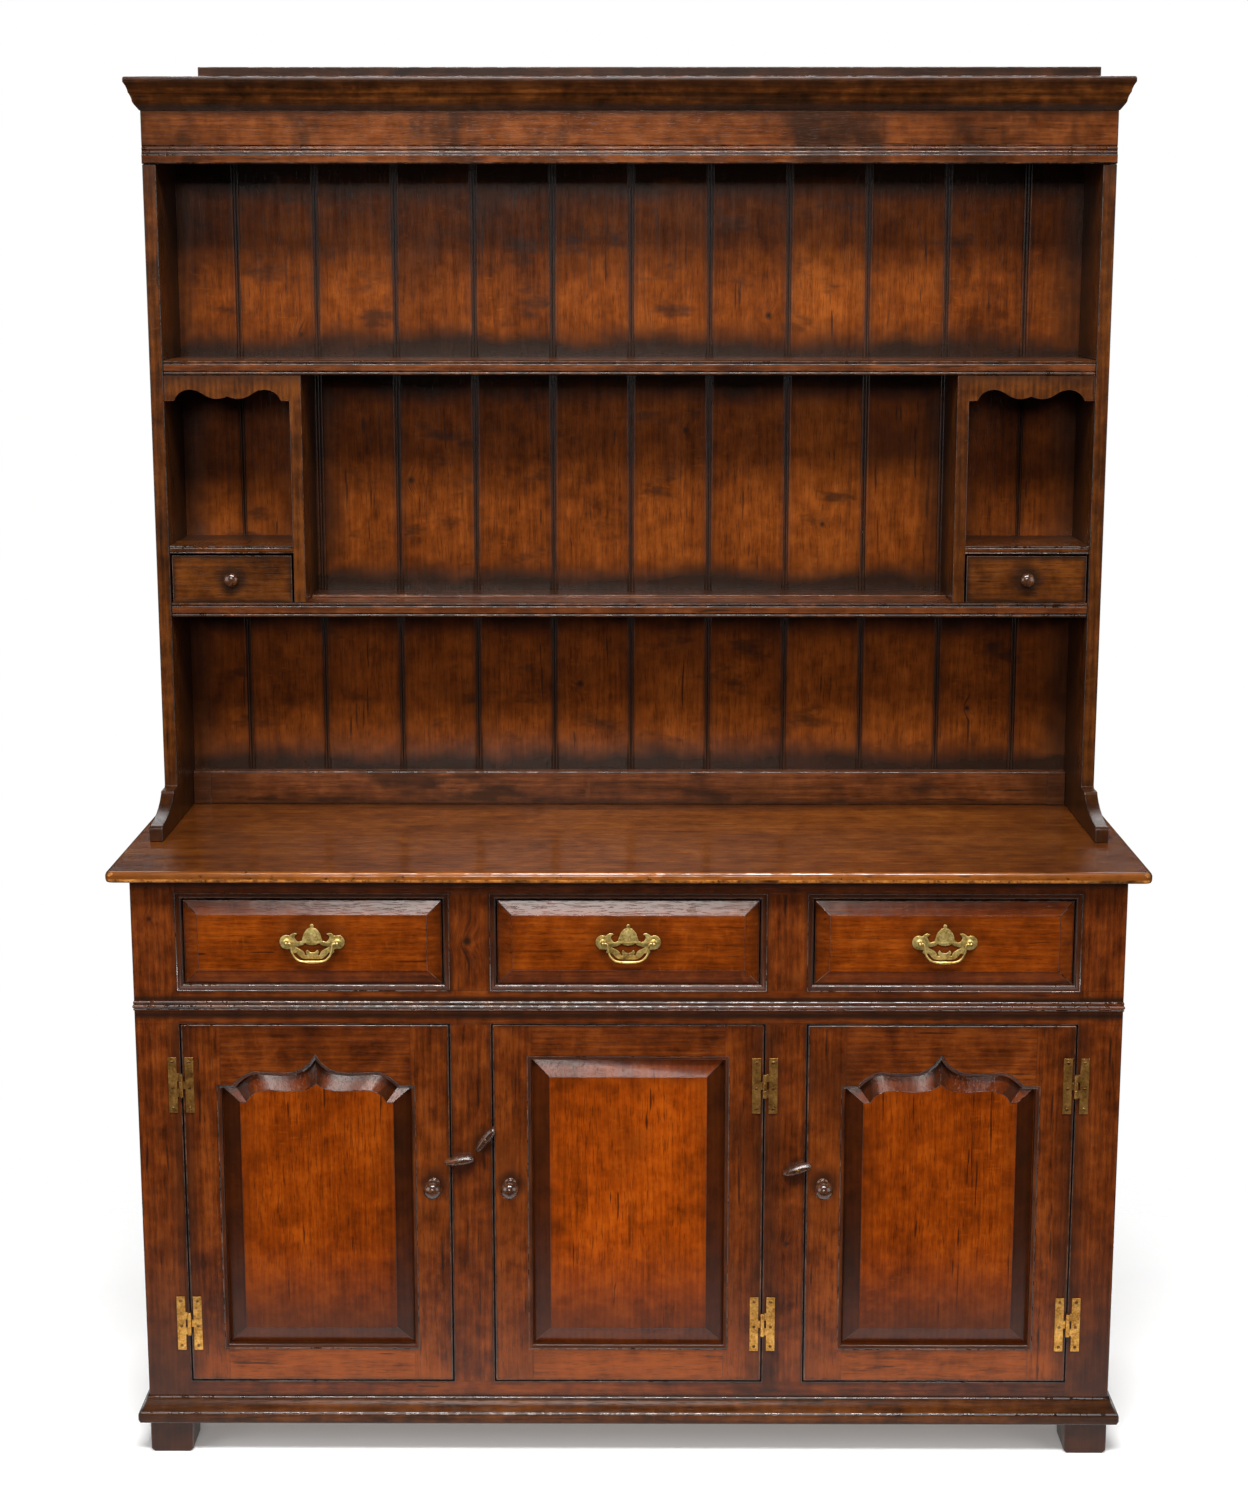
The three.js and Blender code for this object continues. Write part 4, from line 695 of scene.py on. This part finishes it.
def base_joints(finish):
    joint = boards(finish.x, BACK_BOARD)[1]
    return joint.ramp(0.484, 0.492).most(finish.z.ramp(0.20, 0.05) * 0.4)


inside_up = oak("bare_oak_upright", BARE, "z", dirt_and_shade=base_joints, rough=0.62, board=base_board)
for bay in BAYS:
    dress(bay + "_drawer_front", front_finish(bay), 0.9 * MM, 2, rubbed, corner=LOW_CORNER)
    dress(bay + "_drawer_box", inside, 0.8 * MM)
for name in ("drawer_frame", "base_floor", "cupboard_shelf"):
    dress(name, inside, 0.8 * MM)
dress("base_back", inside_up, 0.5 * MM)
print("drawers are finished")

# %% [markdown]
# ## Plate rack
#
# Wide boards again, but darker than the base, because they were dusted less and smoked more. The
# back is a row of upright boards, each with a tone and a figure of its own. Round the edges of each
# bay the front is painted dark, as smoke and as the shade that falls there, so its mask looks at
# which way the surface faces.

# %% Back boards
BOARD_PITCH = 0.1242
BOARD_SHIFT = 0.003
BACK_BAYS = ((0.978, 1.251), (1.2735, 1.6235), (1.646, 1.9373))
SPICE_INNER = 0.505


def back_board(finish):
    return boards(finish.x - BOARD_SHIFT, BOARD_PITCH)[0]


def back_dirt_and_shade(finish):
    """Dark joints on both faces; on the front, smoke and painted shade round the bays."""
    joint = boards(finish.x - BOARD_SHIFT, BOARD_PITCH)[1]
    bead = band(joint, 0.484, 0.006) * 0.4
    joints = any_of([joint.ramp(0.464, 0.472) * (1 - bead), joint.ramp(0.34, 0.5) * 0.35])
    smoke = finish.place.times((1, 1, 2.4)).noise(9, 4, 0.6).ramp(0.54, 0.72)
    sway = (finish.place.noise(11, 3) - 0.5) * 0.05
    out, front = finish.x.size() + sway, finish.facing.axis("Y").ramp(0.4, -0.4)
    # Painted shade at the top of the upper bay, at the ends, round each bay and beside the spice
    # boxes.
    masks = [smoke * 0.7, (finish.z + sway).ramp(1.875, 1.95) * 0.75]
    masks.append(out.ramp(0.64, 0.71) * 0.8)
    for low, high in BACK_BAYS:
        inner = (finish.z - low).size().least((finish.z - high).size()) + sway
        masks.append(inner.ramp(0.062, 0.010))
    masks.append(band(out, SPICE_INNER, 0.065) * between(finish.z, 1.28, 1.62) * 0.85)
    return joints.most(any_of(masks) * front)


def back_heart(finish, own, chance):
    """The middle of the growth rings, at a height of its own in each board."""
    across = finish.x - BOARD_SHIFT - (own + 0.5) * BOARD_PITCH
    return finish.start.node("ShaderNodeCombineXYZ", None, {0: across, 2: finish.z - 1 - chance})


knots = [(-0.35, 1.45, 0.010), (0.22, 1.71, 0.009), (0.31, 1.38, 0.008), (-0.08, 1.12, 0.010)]
knots += [(0.09, 1.53, 0.008), (-0.52, 1.68, 0.009), (0.55, 1.08, 0.008)]
finish = oak("back_board_oak", BACK, "z", dirt_and_shade=back_dirt_and_shade, rough=0.24, spread=0.14,
             board=back_board, knots=knots, heart=back_heart, streaky=0.08)
dress("rack_back_boards", finish, 0.6 * MM)
low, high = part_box("rack_back_boards")
print("back boards", round(BOARD_PITCH / MM), "mm apart over", round((high.x - low.x) / MM), "mm")


# %% Shelves, sides, frieze and cornice
RACK_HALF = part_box("rack_right_side")[1].x
CORNICE_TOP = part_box("cornice")[1].z
FRIEZE_BEAD = 1.9525


def shelf_shade(finish):
    # Painted shade in the quirks of the front moulding and towards the back of the shelf.
    quirks = finish.facing.axis("Y").size().ramp(0.97, 0.8) * finish.y.ramp(0.095, 0.088)
    return any_of([quirks * 0.7, finish.y.ramp(0.10, 0.235) * 0.75])


def side_shade(finish):
    # Painted shade on the inner faces towards the back; darker at the top and the foot as well.
    inner = finish.x.size().ramp(RACK_HALF - 0.003, RACK_HALF - 0.008) * finish.y.ramp(0.06, 0.20)
    return any_of([inner * 0.85, finish.z.ramp(1.85, 1.95) * 0.6, finish.z.ramp(1.05, 0.96) * 0.6])


def frieze_dirt_and_shade(finish):
    # Painted shade along the bead and under the cornice; the dull patches are dirt.
    bead = band(finish.z, FRIEZE_BEAD, 0.004)
    dull = finish.place.times((0.6, 1, 0.3)).noise(14, 4, 0.65).ramp(0.46, 0.66) * 0.8
    return any_of([bead, dull, finish.z.ramp(2.000, 2.016) * 0.8])


def cornice_dirt_and_shade(finish):
    # Blotches of dirt, a darker lip at the top, and painted shade on faces that look down.
    blotches = finish.place.times((0.4, 1, 3)).noise(16, 3).ramp(0.45, 0.66) * 0.6
    lip = finish.z.ramp(CORNICE_TOP - 0.020, CORNICE_TOP - 0.010) * 0.55
    return any_of([blotches, lip, finish.facing.axis("Z").ramp(-0.25, -0.75) * 0.7])


def foot_dirt_and_shade(finish):
    # Patches of dirt, painted shade along the foot where it meets the worktop, and darker ends.
    patches = finish.place.times((0.5, 1, 1.6)).noise(15, 3, 0.6).ramp(0.48, 0.66)
    low = finish.z.ramp(0.934, 0.924) * 0.8
    return any_of([patches * 0.75, low, finish.x.size().ramp(0.58, 0.70) * 0.6])


# Part, tones, grain, dirt and painted shade, roughness, shine, streaks; then the bevel in
# millimetres and its finish.
RACK = [
    ("upper_shelf", RAIL, "x", shelf_shade, 0.28, 0.15, 0.12, 1.5, 3, rubbed_rack),
    ("lower_shelf", RAIL, "x", shelf_shade, 0.28, 0.15, 0.12, 1.5, 3, rubbed_rack),
    ("rack_left_side", SMOKED, "z", side_shade, 0.32, 0.16, 0.12, 1.4, 3, rubbed_dusky),
    ("rack_right_side", SMOKED, "z", side_shade, 0.32, 0.16, 0.12, 1.4, 3, rubbed_dusky),
    ("foot_rail", RAIL, "x", foot_dirt_and_shade, 0.30, 0.13, 0.18, 1.0, 2, rubbed_rack),
    ("frieze", RAIL, "x", frieze_dirt_and_shade, 0.20, 0.12, 0.12, 1.2, 3, rubbed_rack),
    ("cornice", CORNICE, "x", cornice_dirt_and_shade, 0.28, 0.18, 0.12, 1.0, 2, rubbed),
    ("rack_top", DUSKY, "x", None, 0.42, 0.12, 0.12, 1.2, 2, rubbed_dusky),
]
for name, tones, way, dirt_and_shade, rough, shine, streaky, width, segments, edge in RACK:
    finish = oak(name + "_oak", tones, way, dirt_and_shade=dirt_and_shade, rough=rough, shine=shine, streaky=streaky)
    dress(name, finish, width * MM, segments, edge)
print("plate rack is finished")


# %% Spice boxes and their drawers
SPICE_KNOB_LEVEL = 1.3102


def spice_shade(finish):
    # Painted shade deep in the box and under the shelf above.
    return any_of([finish.y.ramp(0.12, 0.22) * 0.8, finish.z.ramp(1.60, 1.625) * 0.6])


def spice_front_finish(side):
    low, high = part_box(side + "_spice_drawer")

    def dirt_and_shade(finish):
        knob = round_spot(finish, (low.x + high.x) / 2, SPICE_KNOB_LEVEL, 0.013, 0.034)
        return any_of([near_edges(finish, low, high, 0.010) * 0.85, knob * 0.8])

    return oak(side + "_spice_front_oak", SMOKED, "x", dirt_and_shade=dirt_and_shade, rough=0.30, shine=0.18)


for side in ("left", "right"):
    box = side + "_spice_box"
    finish = oak(box + "_oak", SMOKED, "z", dirt_and_shade=spice_shade, rough=0.34, shine=0.16)
    dress(box, finish, 0.7 * MM, 2, rubbed, merge=False)
    dress(side + "_spice_drawer", spice_front_finish(side), 0.9 * MM, 2, rubbed)
print("spice boxes are finished")

# %% [markdown]
# ## Turned knobs and turn buttons
#
# The knobs are turned oak, dark and shiny from hands: a thin flange against the door, a neck, and
# a flattened ball. A lathe spins a profile round an axis, and so does the code.


# %% A lathe
def lathe(name, profile, centre, turns=48):
    """Spins (radius, distance) pairs round a line through centre; distance runs to the front."""
    mesh = bmesh.new()
    rings = []
    for radius, along in profile:
        ring = []
        for i in range(1 if radius == 0 else turns):
            angle = 2 * math.pi * i / turns
            across, up = radius * math.cos(angle), radius * math.sin(angle)
            ring.append(mesh.verts.new(Vector(centre) + Vector((across, -along, up))))
        rings.append(ring)
    bridge(mesh, rings, turns)
    bmesh.ops.recalc_face_normals(mesh, faces=mesh.faces)
    return piece_from(mesh, name)


def bridge(mesh, rings, turns):
    """Adds the faces between each ring and the next. A ring of one vertex is a point."""
    for near, far in zip(rings, rings[1:]):
        for i in range(turns):
            quad = [near[i % len(near)], near[(i + 1) % len(near)]]
            quad += [far[(i + 1) % len(far)], far[i % len(far)]]
            mesh.faces.new(list(dict.fromkeys(quad)))


def piece_from(mesh, name, sharp=40):
    """Turns a bmesh into an object with smooth faces, sharp only over this many degrees."""
    data = bpy.data.meshes.new(name)
    mesh.to_mesh(data)
    mesh.free()
    data.polygons.foreach_set("use_smooth", [True] * len(data.polygons))
    data.set_sharp_from_angle(angle=math.radians(sharp))
    piece = bpy.data.objects.new(name, data)
    bpy.context.scene.collection.objects.link(piece)
    return piece


def smooth_line(points, steps, closed=False):
    """A curve through the points, as a list of points close together."""
    points = [Vector(p) for p in points]
    count = len(points)
    line = []
    for i in range(count if closed else count - 1):
        pick = [(i + k) % count if closed else min(max(i + k, 0), count - 1) for k in (-1, 0, 1, 2)]
        a, b, c, d = (points[k] for k in pick)
        for step in range(steps):
            t = step / steps
            line.append(
                0.5 * (2 * b + (c - a) * t + (2 * a - 5 * b + 4 * c - d) * t * t
                       + (3 * b - a - 3 * c + d) * t * t * t)
            )
    return line if closed else line + [points[-1]]


print("the lathe is ready")


# %% Turned oak
def turned_oak(name, tones):
    finish = Finish(name, Specular_IOR_Level=0.5, Coat_Weight=0.25, Coat_Roughness=0.10)
    at = finish.place.times((1, 0.12, 1))
    figure = at.noise(90, 4, 0.6, 0.6) * 0.6 + at.noise(420, 3) * 0.4
    colour = figure.coloured((0.36, 0.52, 0.68), tones)
    finish.feed(Base_Color=colour, Roughness=0.12 + figure * 0.16)
    finish.relief(figure * 0.06)
    return finish.material


TURNED = [(0.012, 0.005, 0.003), (0.048, 0.016, 0.006), (0.120, 0.042, 0.015)]
HANDLED = [(0.012, 0.005, 0.003), (0.050, 0.017, 0.007), (0.120, 0.044, 0.017)]
knob_finish = turned_oak("turned_oak", TURNED)
button_finish = turned_oak("button_oak", HANDLED)
# Radius and distance from the door, in millimetres.
KNOB = [
    (0, 0.3), (7.2, 0.3), (8.8, 0.9), (9, 2), (8.4, 3.2), (6.4, 4.4), (5.4, 7), (5.3, 12),
    (5.8, 15.5), (7.8, 17.8), (10.6, 20.2), (12.7, 23.8), (13.35, 28), (12.9, 32.4), (11.4, 36.2),
    (8.8, 39.2), (5.2, 41.2), (2.2, 41.9), (0, 42),
]
KNOB_WIDTH, KNOB_LENGTH = 0.0267, 0.042


def knob(name, centre, across, along, body, node, finish):
    """A turned knob, scaled across and along its axis."""
    profile = [tuple(p) for p in smooth_line([(r * across, d * along, 0) for r, d in KNOB], 3)]
    profile = [(max(0.0, r) * MM, d * MM) for r, d, _ in profile]
    profile[0], profile[-1] = (0, profile[0][1]), (0, profile[-1][1])
    piece = lathe(name, profile, centre)
    piece.data.materials.append(finish)
    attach(piece, body)
    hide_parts(node)


# The front of the doors and drawers.
FACE = -0.212
for bay in BAYS:
    x, z = KNOBS[bay]
    body = bay + "_door"
    knob(bay + "_turned_knob", (x, FACE, z), 1.04, 1.0, body, body + "_knob", knob_finish)
for side in ("left", "right"):
    low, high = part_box(side + "_spice_knob")
    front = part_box(side + "_spice_drawer")[0].y
    centre = ((low.x + high.x) / 2, front, (low.z + high.z) / 2)
    across, along = (high.x - low.x) / KNOB_WIDTH, (front - low.y) / KNOB_LENGTH
    body = side + "_spice_drawer"
    knob(side + "_small_knob", centre, across, along, body, side + "_spice_knob", button_finish)
    print(side, "small knob is", round(across, 2), "as wide as a door knob")
for bay in BAYS:
    dress(bay + "_turn_button", button_finish, 1.0 * MM, 3)

# %% [markdown]
# ## Brass
#
# The H hinges are cut from sheet and screwed on; the handles are castings, filed and lacquered.
# Old brass is golden where it is rubbed and brown in its corners, and its sides are painted brown
# as shade. One function makes all of it, and the upper hinges are painted darker than the lower
# ones, as shade.


# %% Brass finishes
# Brown for tarnish, and for painted shade on the sides and the upper hinges.
TARNISH_AND_SHADE = (0.10, 0.045, 0.018, 1)


def brass(name, tarnish, tones, rough, dents=0.0, upper_shade=0.0):
    """Mottled brass, painted brown on its sides as shade; upper_shade darkens upper hinges."""
    finish = Finish(name, Metallic=1.0)
    at = finish.place
    clouds = at.noise(60, 4, 0.6) * 0.55 + at.noise(330, 3, 0.6) * 0.45
    colour = clouds.coloured((0.36, 0.50, 0.66), tones)
    tarnish_and_shade = at.noise(190, 3).ramp(0.56, 0.70) * tarnish
    # Faces turned sideways are painted brown as shade, and so are the upper hinges by upper_shade.
    aside = finish.facing.axis("Y").size().ramp(0.90, 0.45) * 0.7
    tarnish_and_shade = tarnish_and_shade.most(finish.z.ramp(0.25, 0.50) * upper_shade).most(aside)
    colour = colour.towards(TARNISH_AND_SHADE, tarnish_and_shade.least(0.9))
    finish.feed(Base_Color=colour, Roughness=rough - 0.1 + clouds * 0.22 + tarnish_and_shade * 0.2)
    brushed = at.times((1, 1, 0.12)).noise(1200, 2)
    dimples = at.noise(420, 1)
    finish.relief(clouds * 0.12 + brushed * 0.03 + dimples * dents)
    return finish.material


CAST_TONES = [(0.30, 0.195, 0.050), (0.70, 0.51, 0.160), (0.98, 0.80, 0.34)]
cast = brass("cast_brass", 0.45, CAST_TONES, 0.40, 0.22)
LEAF_TONES = [(0.30, 0.13, 0.026), (0.62, 0.31, 0.070), (0.90, 0.52, 0.150)]
sheet = brass("sheet_brass", 0.45, LEAF_TONES, 0.32, upper_shade=0.45)
SCREW_TONES = [(0.06, 0.026, 0.009), (0.17, 0.080, 0.026), (0.46, 0.28, 0.10)]
screw_metal = brass("screw_brass", 0.8, SCREW_TONES, 0.30)
print("cast, sheet and screw brass")

# %% [markdown]
# ## H hinges
#
# Each hinge is two narrow leaves joined by a knuckle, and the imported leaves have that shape
# already. Three domed screws hold each leaf, with slots that point every way, because nobody lined
# them up. A screw head is a low lathe dome with a bar cut out of it.


# %% Screw heads
def cut_out(piece, cutter):
    """The piece's mesh with the cutter taken out of it."""
    cut = piece.modifiers.new("slot", "BOOLEAN")
    cut.operation, cut.object, cut.solver = "DIFFERENCE", cutter, "EXACT"
    graph = bpy.context.evaluated_depsgraph_get()
    mesh = bpy.data.meshes.new_from_object(piece.evaluated_get(graph))
    for used in (piece, cutter):
        bpy.data.objects.remove(used)
    return mesh


def slotted_head():
    """The mesh of a screw head, from sizes in millimetres."""
    radius, height, slot = 2.5, 1.0, 0.7
    dome = [(0, 0), (radius, 0), (radius * 0.96, height * 0.4), (radius * 0.72, height * 0.82)]
    dome += [(radius * 0.36, height * 0.98), (0, height)]
    head = lathe("screw_dome", [(r * MM, d * MM) for r, d in dome], (0, 0, 0), 24)
    bar = bmesh.new()
    bmesh.ops.create_cube(bar, size=1.0)
    size = Matrix.Diagonal((radius * 3 * MM, height * MM, slot * MM, 1))
    place = Matrix.Translation((0, -height * MM, 0))
    bmesh.ops.transform(bar, matrix=place @ size, verts=bar.verts)
    return cut_out(head, piece_from(bar, "slot_bar"))


screw = slotted_head()


def screws(name, places, body):
    """Slotted screw heads at these places on a front face, each turned its own way."""
    draw = random.Random(name)
    mesh = bmesh.new()
    for place in places:
        before = len(mesh.verts)
        mesh.from_mesh(screw)
        mesh.verts.ensure_lookup_table()
        turn = Matrix.Rotation(draw.uniform(0, math.pi), 4, "Y")
        placed = Matrix.Translation(place) @ turn
        bmesh.ops.transform(mesh, matrix=placed, verts=mesh.verts[before:])
    piece = piece_from(mesh, name, 30)
    piece.data.materials.append(screw_metal)
    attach(piece, body)


for bay in BAYS:
    low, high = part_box(bay + "_turn_button")
    pin = ((low.x + high.x) / 2, low.y, (low.z + high.z) / 2)
    screws(bay + "_pin_screw", [pin], bay + "_button")

LEAF_FRONT = -0.2141
SCREW_INSET = 0.007
for bay in BAYS:
    for level in ("upper", "lower"):
        for part, body in (("frame", "carcass"), ("door", bay + "_door")):
            leaf = f"{bay}_{level}_{part}_leaf"
            low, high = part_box(leaf)
            dress(leaf, sheet, 0.35 * MM)
            plate = [v.co.x for v in nodes[leaf].data.vertices if v.co.z > high.z - 0.001]
            x = (min(plate) + max(plate)) / 2
            middle = (low.z + high.z) / 2
            rise = (high.z - low.z) / 2 - SCREW_INSET
            places = [(x, LEAF_FRONT, middle + k * rise) for k in (-1, -0.12, 1)]
            screws(leaf + "_screws", places, body)
print("twelve leaves, each held by three screws")

# %% [markdown]
# ## Drop handles
#
# A pierced plate with a bell-shaped crown, two posts and a bail that swings between them. The
# plate is a flat curve with a hole, given thickness and a rounded rim. The posts are lathe shapes,
# and the bail is a rod that swells at the middle of the grip, swept along a bent line.

# %% The outline of a handle plate, in shares of the post spacing and the crown's height
POST = 0.0375
CROWN = 0.0274
PLATE = [
    (0, -0.956), (0.315, -0.942), (0.453, -0.861), (0.56, -0.72), (0.64, -0.6),
    (0.76, -0.64), (0.86, -0.56), (0.84, -0.44), (0.9, -0.395), (1.02, -0.388),
    (1.15, -0.335), (1.245, -0.19), (1.28, 0), (1.245, 0.19), (1.15, 0.335),
    (1.02, 0.388), (0.89, 0.355), (0.82, 0.43), (0.72, 0.5), (0.627, 0.485), (0.575, 0.435),
    (0.63, 0.395), (0.685, 0.28), (0.65, 0.14), (0.56, 0.01), (0.467, 0.04), (0.405, 0.07),
    (0.381, 0.182), (0.355, 0.303), (0.32, 0.456), (0.264, 0.584), (0.208, 0.679), (0.152, 0.745),
    (0.085, 0.785), (0.062, 0.825), (0.075, 0.912), (0.043, 0.985), (0, 1),
]
PIERCED = [
    (0, -0.172), (0.16, -0.146), (0.275, -0.066), (0.347, -0.153), (0.517, -0.226), (0.64, -0.263),
    (0.587, -0.328), (0.395, -0.471), (0.32, -0.602), (0.275, -0.735), (0.219, -0.712),
    (0.256, -0.566), (0.213, -0.445), (0.165, -0.474), (0.112, -0.555), (0, -0.595),
]


def mirrored(shares):
    right = [(x * POST, z * CROWN, 0) for x, z in shares]
    return right + [(-x, z, 0) for x, z, _ in reversed(right[1:-1])]


def pierced_plate(name, outlines, thickness, rim):
    """A flat shape with holes, with a rounded rim, standing on Z and facing -Y."""
    curve = bpy.data.curves.new(name, "CURVE")
    curve.dimensions = "2D"
    curve.fill_mode = "BOTH"
    curve.extrude = thickness / 2 - rim
    curve.bevel_depth = rim
    curve.offset = -rim
    for outline in outlines:
        line = smooth_line(outline, 4, closed=True)
        spline = curve.splines.new("POLY")
        spline.points.add(len(line) - 1)
        spline.points.foreach_set("co", [v for p in line for v in (p.x, p.y, 0, 1)])
        spline.use_cyclic_u = True
    drawn = bpy.data.objects.new(name, curve)
    mesh = bmesh.new()
    mesh.from_mesh(bpy.data.meshes.new_from_object(drawn))
    bpy.data.objects.remove(drawn)
    bmesh.ops.remove_doubles(mesh, verts=mesh.verts, dist=1e-6)
    bmesh.ops.rotate(mesh, matrix=Matrix.Rotation(math.pi / 2, 3, "X"), verts=mesh.verts)
    return mesh


# Radius and distance from the drawer front, in millimetres.
POST_PROFILE = [
    (0, 1.2), (4.6, 1.2), (4.8, 1.8), (4.2, 2.3), (3, 2.6), (2.3, 3.4), (2.1, 5), (2.6, 5.8),
    (3.2, 7), (3.4, 8.8), (3.1, 10.8), (2.3, 12.5), (1.3, 13.3), (0, 13.5),
]


def handle_plate(bay, middle):
    name = bay + "_pierced_plate"
    mesh = pierced_plate(name, [mirrored(PLATE), mirrored(PIERCED)], 1.6 * MM, 0.45 * MM)
    bmesh.ops.translate(mesh, vec=middle + Vector((0, -1.1 * MM, 0)), verts=mesh.verts)
    for side in (-1, 1):
        centre = middle + Vector((side * POST, 0, 0))
        post = lathe("post", [(r * MM, d * MM) for r, d in POST_PROFILE], centre, 28)
        mesh.from_mesh(post.data)
        bpy.data.objects.remove(post)
    piece = piece_from(mesh, name, 30)
    piece.data.materials.append(cast)
    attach(piece, bay + "_drawer")
    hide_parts(bay + "_handle_backplate")


print("a handle plate is", round(2 * max(x for x, _ in PLATE) * POST / MM), "mm wide")


# %% The bail
# Half of its line, from a pivot to the middle of the grip, in millimetres.
BAIL = [
    (35, 0), (32.6, -0.2), (31, -1.6), (30.3, -4.6), (30, -8), (29.4, -12.2), (27.9, -16.8),
    (24.8, -21.6), (20, -25.6), (14, -27.6), (7, -28.2), (0, -28.3),
]
PIVOT = 0.009
HANDLE_LEVEL = 0.81065


def rod(line, radii):
    """Sweeps a circle along a flat line in X and Z, with closed ends."""
    turns = 16
    mesh = bmesh.new()
    rings = []
    for i, at in enumerate(line):
        ahead = (line[min(i + 1, len(line) - 1)] - line[max(i - 1, 0)]).normalized()
        out = Vector((-ahead.z, 0, ahead.x))
        ring = []
        for k in range(turns):
            angle = 2 * math.pi * k / turns
            spoke = out * math.cos(angle) + Vector((0, 1, 0)) * math.sin(angle)
            ring.append(mesh.verts.new(at + spoke * radii[i]))
        rings.append(ring)
    bridge(mesh, rings, turns)
    mesh.faces.new(list(reversed(rings[0])))
    mesh.faces.new(rings[-1])
    bmesh.ops.recalc_face_normals(mesh, faces=mesh.faces)
    return mesh


def handle_bail(bay, middle):
    right = [Vector((x * MM, 0, z * MM)) for x, z in BAIL]
    left = [Vector((-p.x, 0, p.z)) for p in reversed(right[:-1])]
    line = [middle + Vector((0, -PIVOT, 0)) + p for p in smooth_line(right + left, 5)]
    radii = []
    for at in line:
        swell = max(0.0, 1 - abs(at.x - middle.x) / 0.019)
        radii.append((1.55 + 0.85 * swell * swell * (3 - 2 * swell)) * MM)
    piece = piece_from(rod(line, radii), bay + "_swan_bail", 50)
    piece.data.materials.append(cast)
    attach(piece, bay + "_bail")
    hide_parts(bay + "_handle_bail")


for bay in BAYS:
    low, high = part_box(bay + "_drawer_front")
    middle = Vector(((low.x + high.x) / 2, FACE, HANDLE_LEVEL))
    handle_plate(bay, middle)
    handle_bail(bay, middle)
print("three drop handles")

# %% [markdown]
# ## Floor, light and camera
#
# The dresser stands in a pale studio. A wide light above and in front draws the broken lines on
# the edges, large soft ones at the sides and behind fill the rest, and a weak sky keeps the
# shadows soft. Waxed oak mirrors whatever stands before it, so a light near the camera would lay a
# grey veil over every flat board. A window far off and high up lights the bevels instead, because
# only surfaces that lean back can mirror it. The camera stands a little above head height and
# looks slightly down. The floor fades out near the dresser, so that the sky meets it without a
# line.


# %% Floor
HALF_WIDTH, HALF_DEPTH = 0.762, 0.254
FADE = 0.80


def pale_floor():
    mesh = bmesh.new()
    bmesh.ops.create_circle(mesh, cap_ends=True, segments=96, radius=4.2)
    floor = piece_from(mesh, "studio_floor")
    glow = {"Emission_Strength": 0.12, "Emission_Color": (1, 1, 1, 1)}
    finish = Finish("pale_floor", Specular_IOR_Level=0.2, **glow)
    cloud = finish.place.noise(3, 3)
    colour = cloud.coloured((0.3, 0.7), [(0.88, 0.88, 0.88), (0.92, 0.92, 0.92)])
    beside = (finish.x.size() - HALF_WIDTH).most(0)
    before = (finish.y.size() - HALF_DEPTH).most(0)
    shown = ((beside * beside + before * before) ** 0.5).ramp(FADE, 0.10)
    finish.feed(Base_Color=colour, Roughness=0.55 + cloud * 0.2, Alpha=shown)
    floor.data.materials.append(finish.material)


pale_floor()
print("the floor fades out within", FADE, "m of the dresser")


# %% Lights and sky
AIM = (0, 0, 1.0)


def soft_light(name, place, size, power, colour=(1, 1, 1)):
    lamp = bpy.data.lights.new(name, "AREA")
    lamp.color = colour
    lamp.shape = "RECTANGLE"
    lamp.size, lamp.size_y = size
    lamp.energy = power
    stand = bpy.data.objects.new(name, lamp)
    stand.location = place
    stand.rotation_euler = (Vector(AIM) - Vector(place)).to_track_quat("-Z", "Y").to_euler()
    bpy.context.scene.collection.objects.link(stand)


soft_light("overhead", (0, -2.0, 3.9), (2.3, 0.8), 235)
soft_light("high_window", (-0.9, -20.0, 6.8), (4.6, 4.2), 1150, (1, 0.93, 0.88))
soft_light("far_left", (-3.8, -2.6, 2.0), (3.4, 2.8), 95)
soft_light("far_right", (3.9, -2.4, 2.0), (3.4, 2.8), 80)
soft_light("behind", (0.0, 3.4, 3.4), (4.0, 1.6), 110)


def studio_sky(seen, shed):
    """White where the camera sees it, and weaker where it lights the dresser."""
    world = bpy.data.worlds.new("studio_sky")
    bpy.context.scene.world = world
    world.use_nodes = True
    start = Wire(world.node_tree)
    world.node_tree.nodes.clear()
    straight = start.node("ShaderNodeLightPath", None, None, "Is Camera Ray")
    bright = start.node("ShaderNodeBackground", None, {"Color": (1, 1, 1, 1), "Strength": seen})
    weak = start.node("ShaderNodeBackground", None, {"Color": (1, 1, 1, 1), "Strength": shed})
    both = start.node("ShaderNodeMixShader", None, {0: straight, 1: weak, 2: bright})
    end = world.node_tree.nodes.new("ShaderNodeOutputWorld")
    world.node_tree.links.new(both.socket, end.inputs["Surface"])


studio_sky(1.0, 0.02)
bpy.context.scene.view_settings.view_transform = "Standard"
print("five soft lights and a sky")

# %% Camera
camera = bpy.data.cameras.new("photo_camera")
camera.sensor_fit = "HORIZONTAL"
camera.sensor_width = 36
camera.lens = 71.1
eye = bpy.data.objects.new("photo_camera", camera)
eye.location = (0.010, -3.717, 1.788)
eye.rotation_euler = (math.radians(90 - 11.124), 0, math.radians(0.267))
bpy.context.scene.collection.objects.link(eye)
bpy.context.scene.camera = eye
print("the camera stands at", [round(v, 3) for v in eye.location])
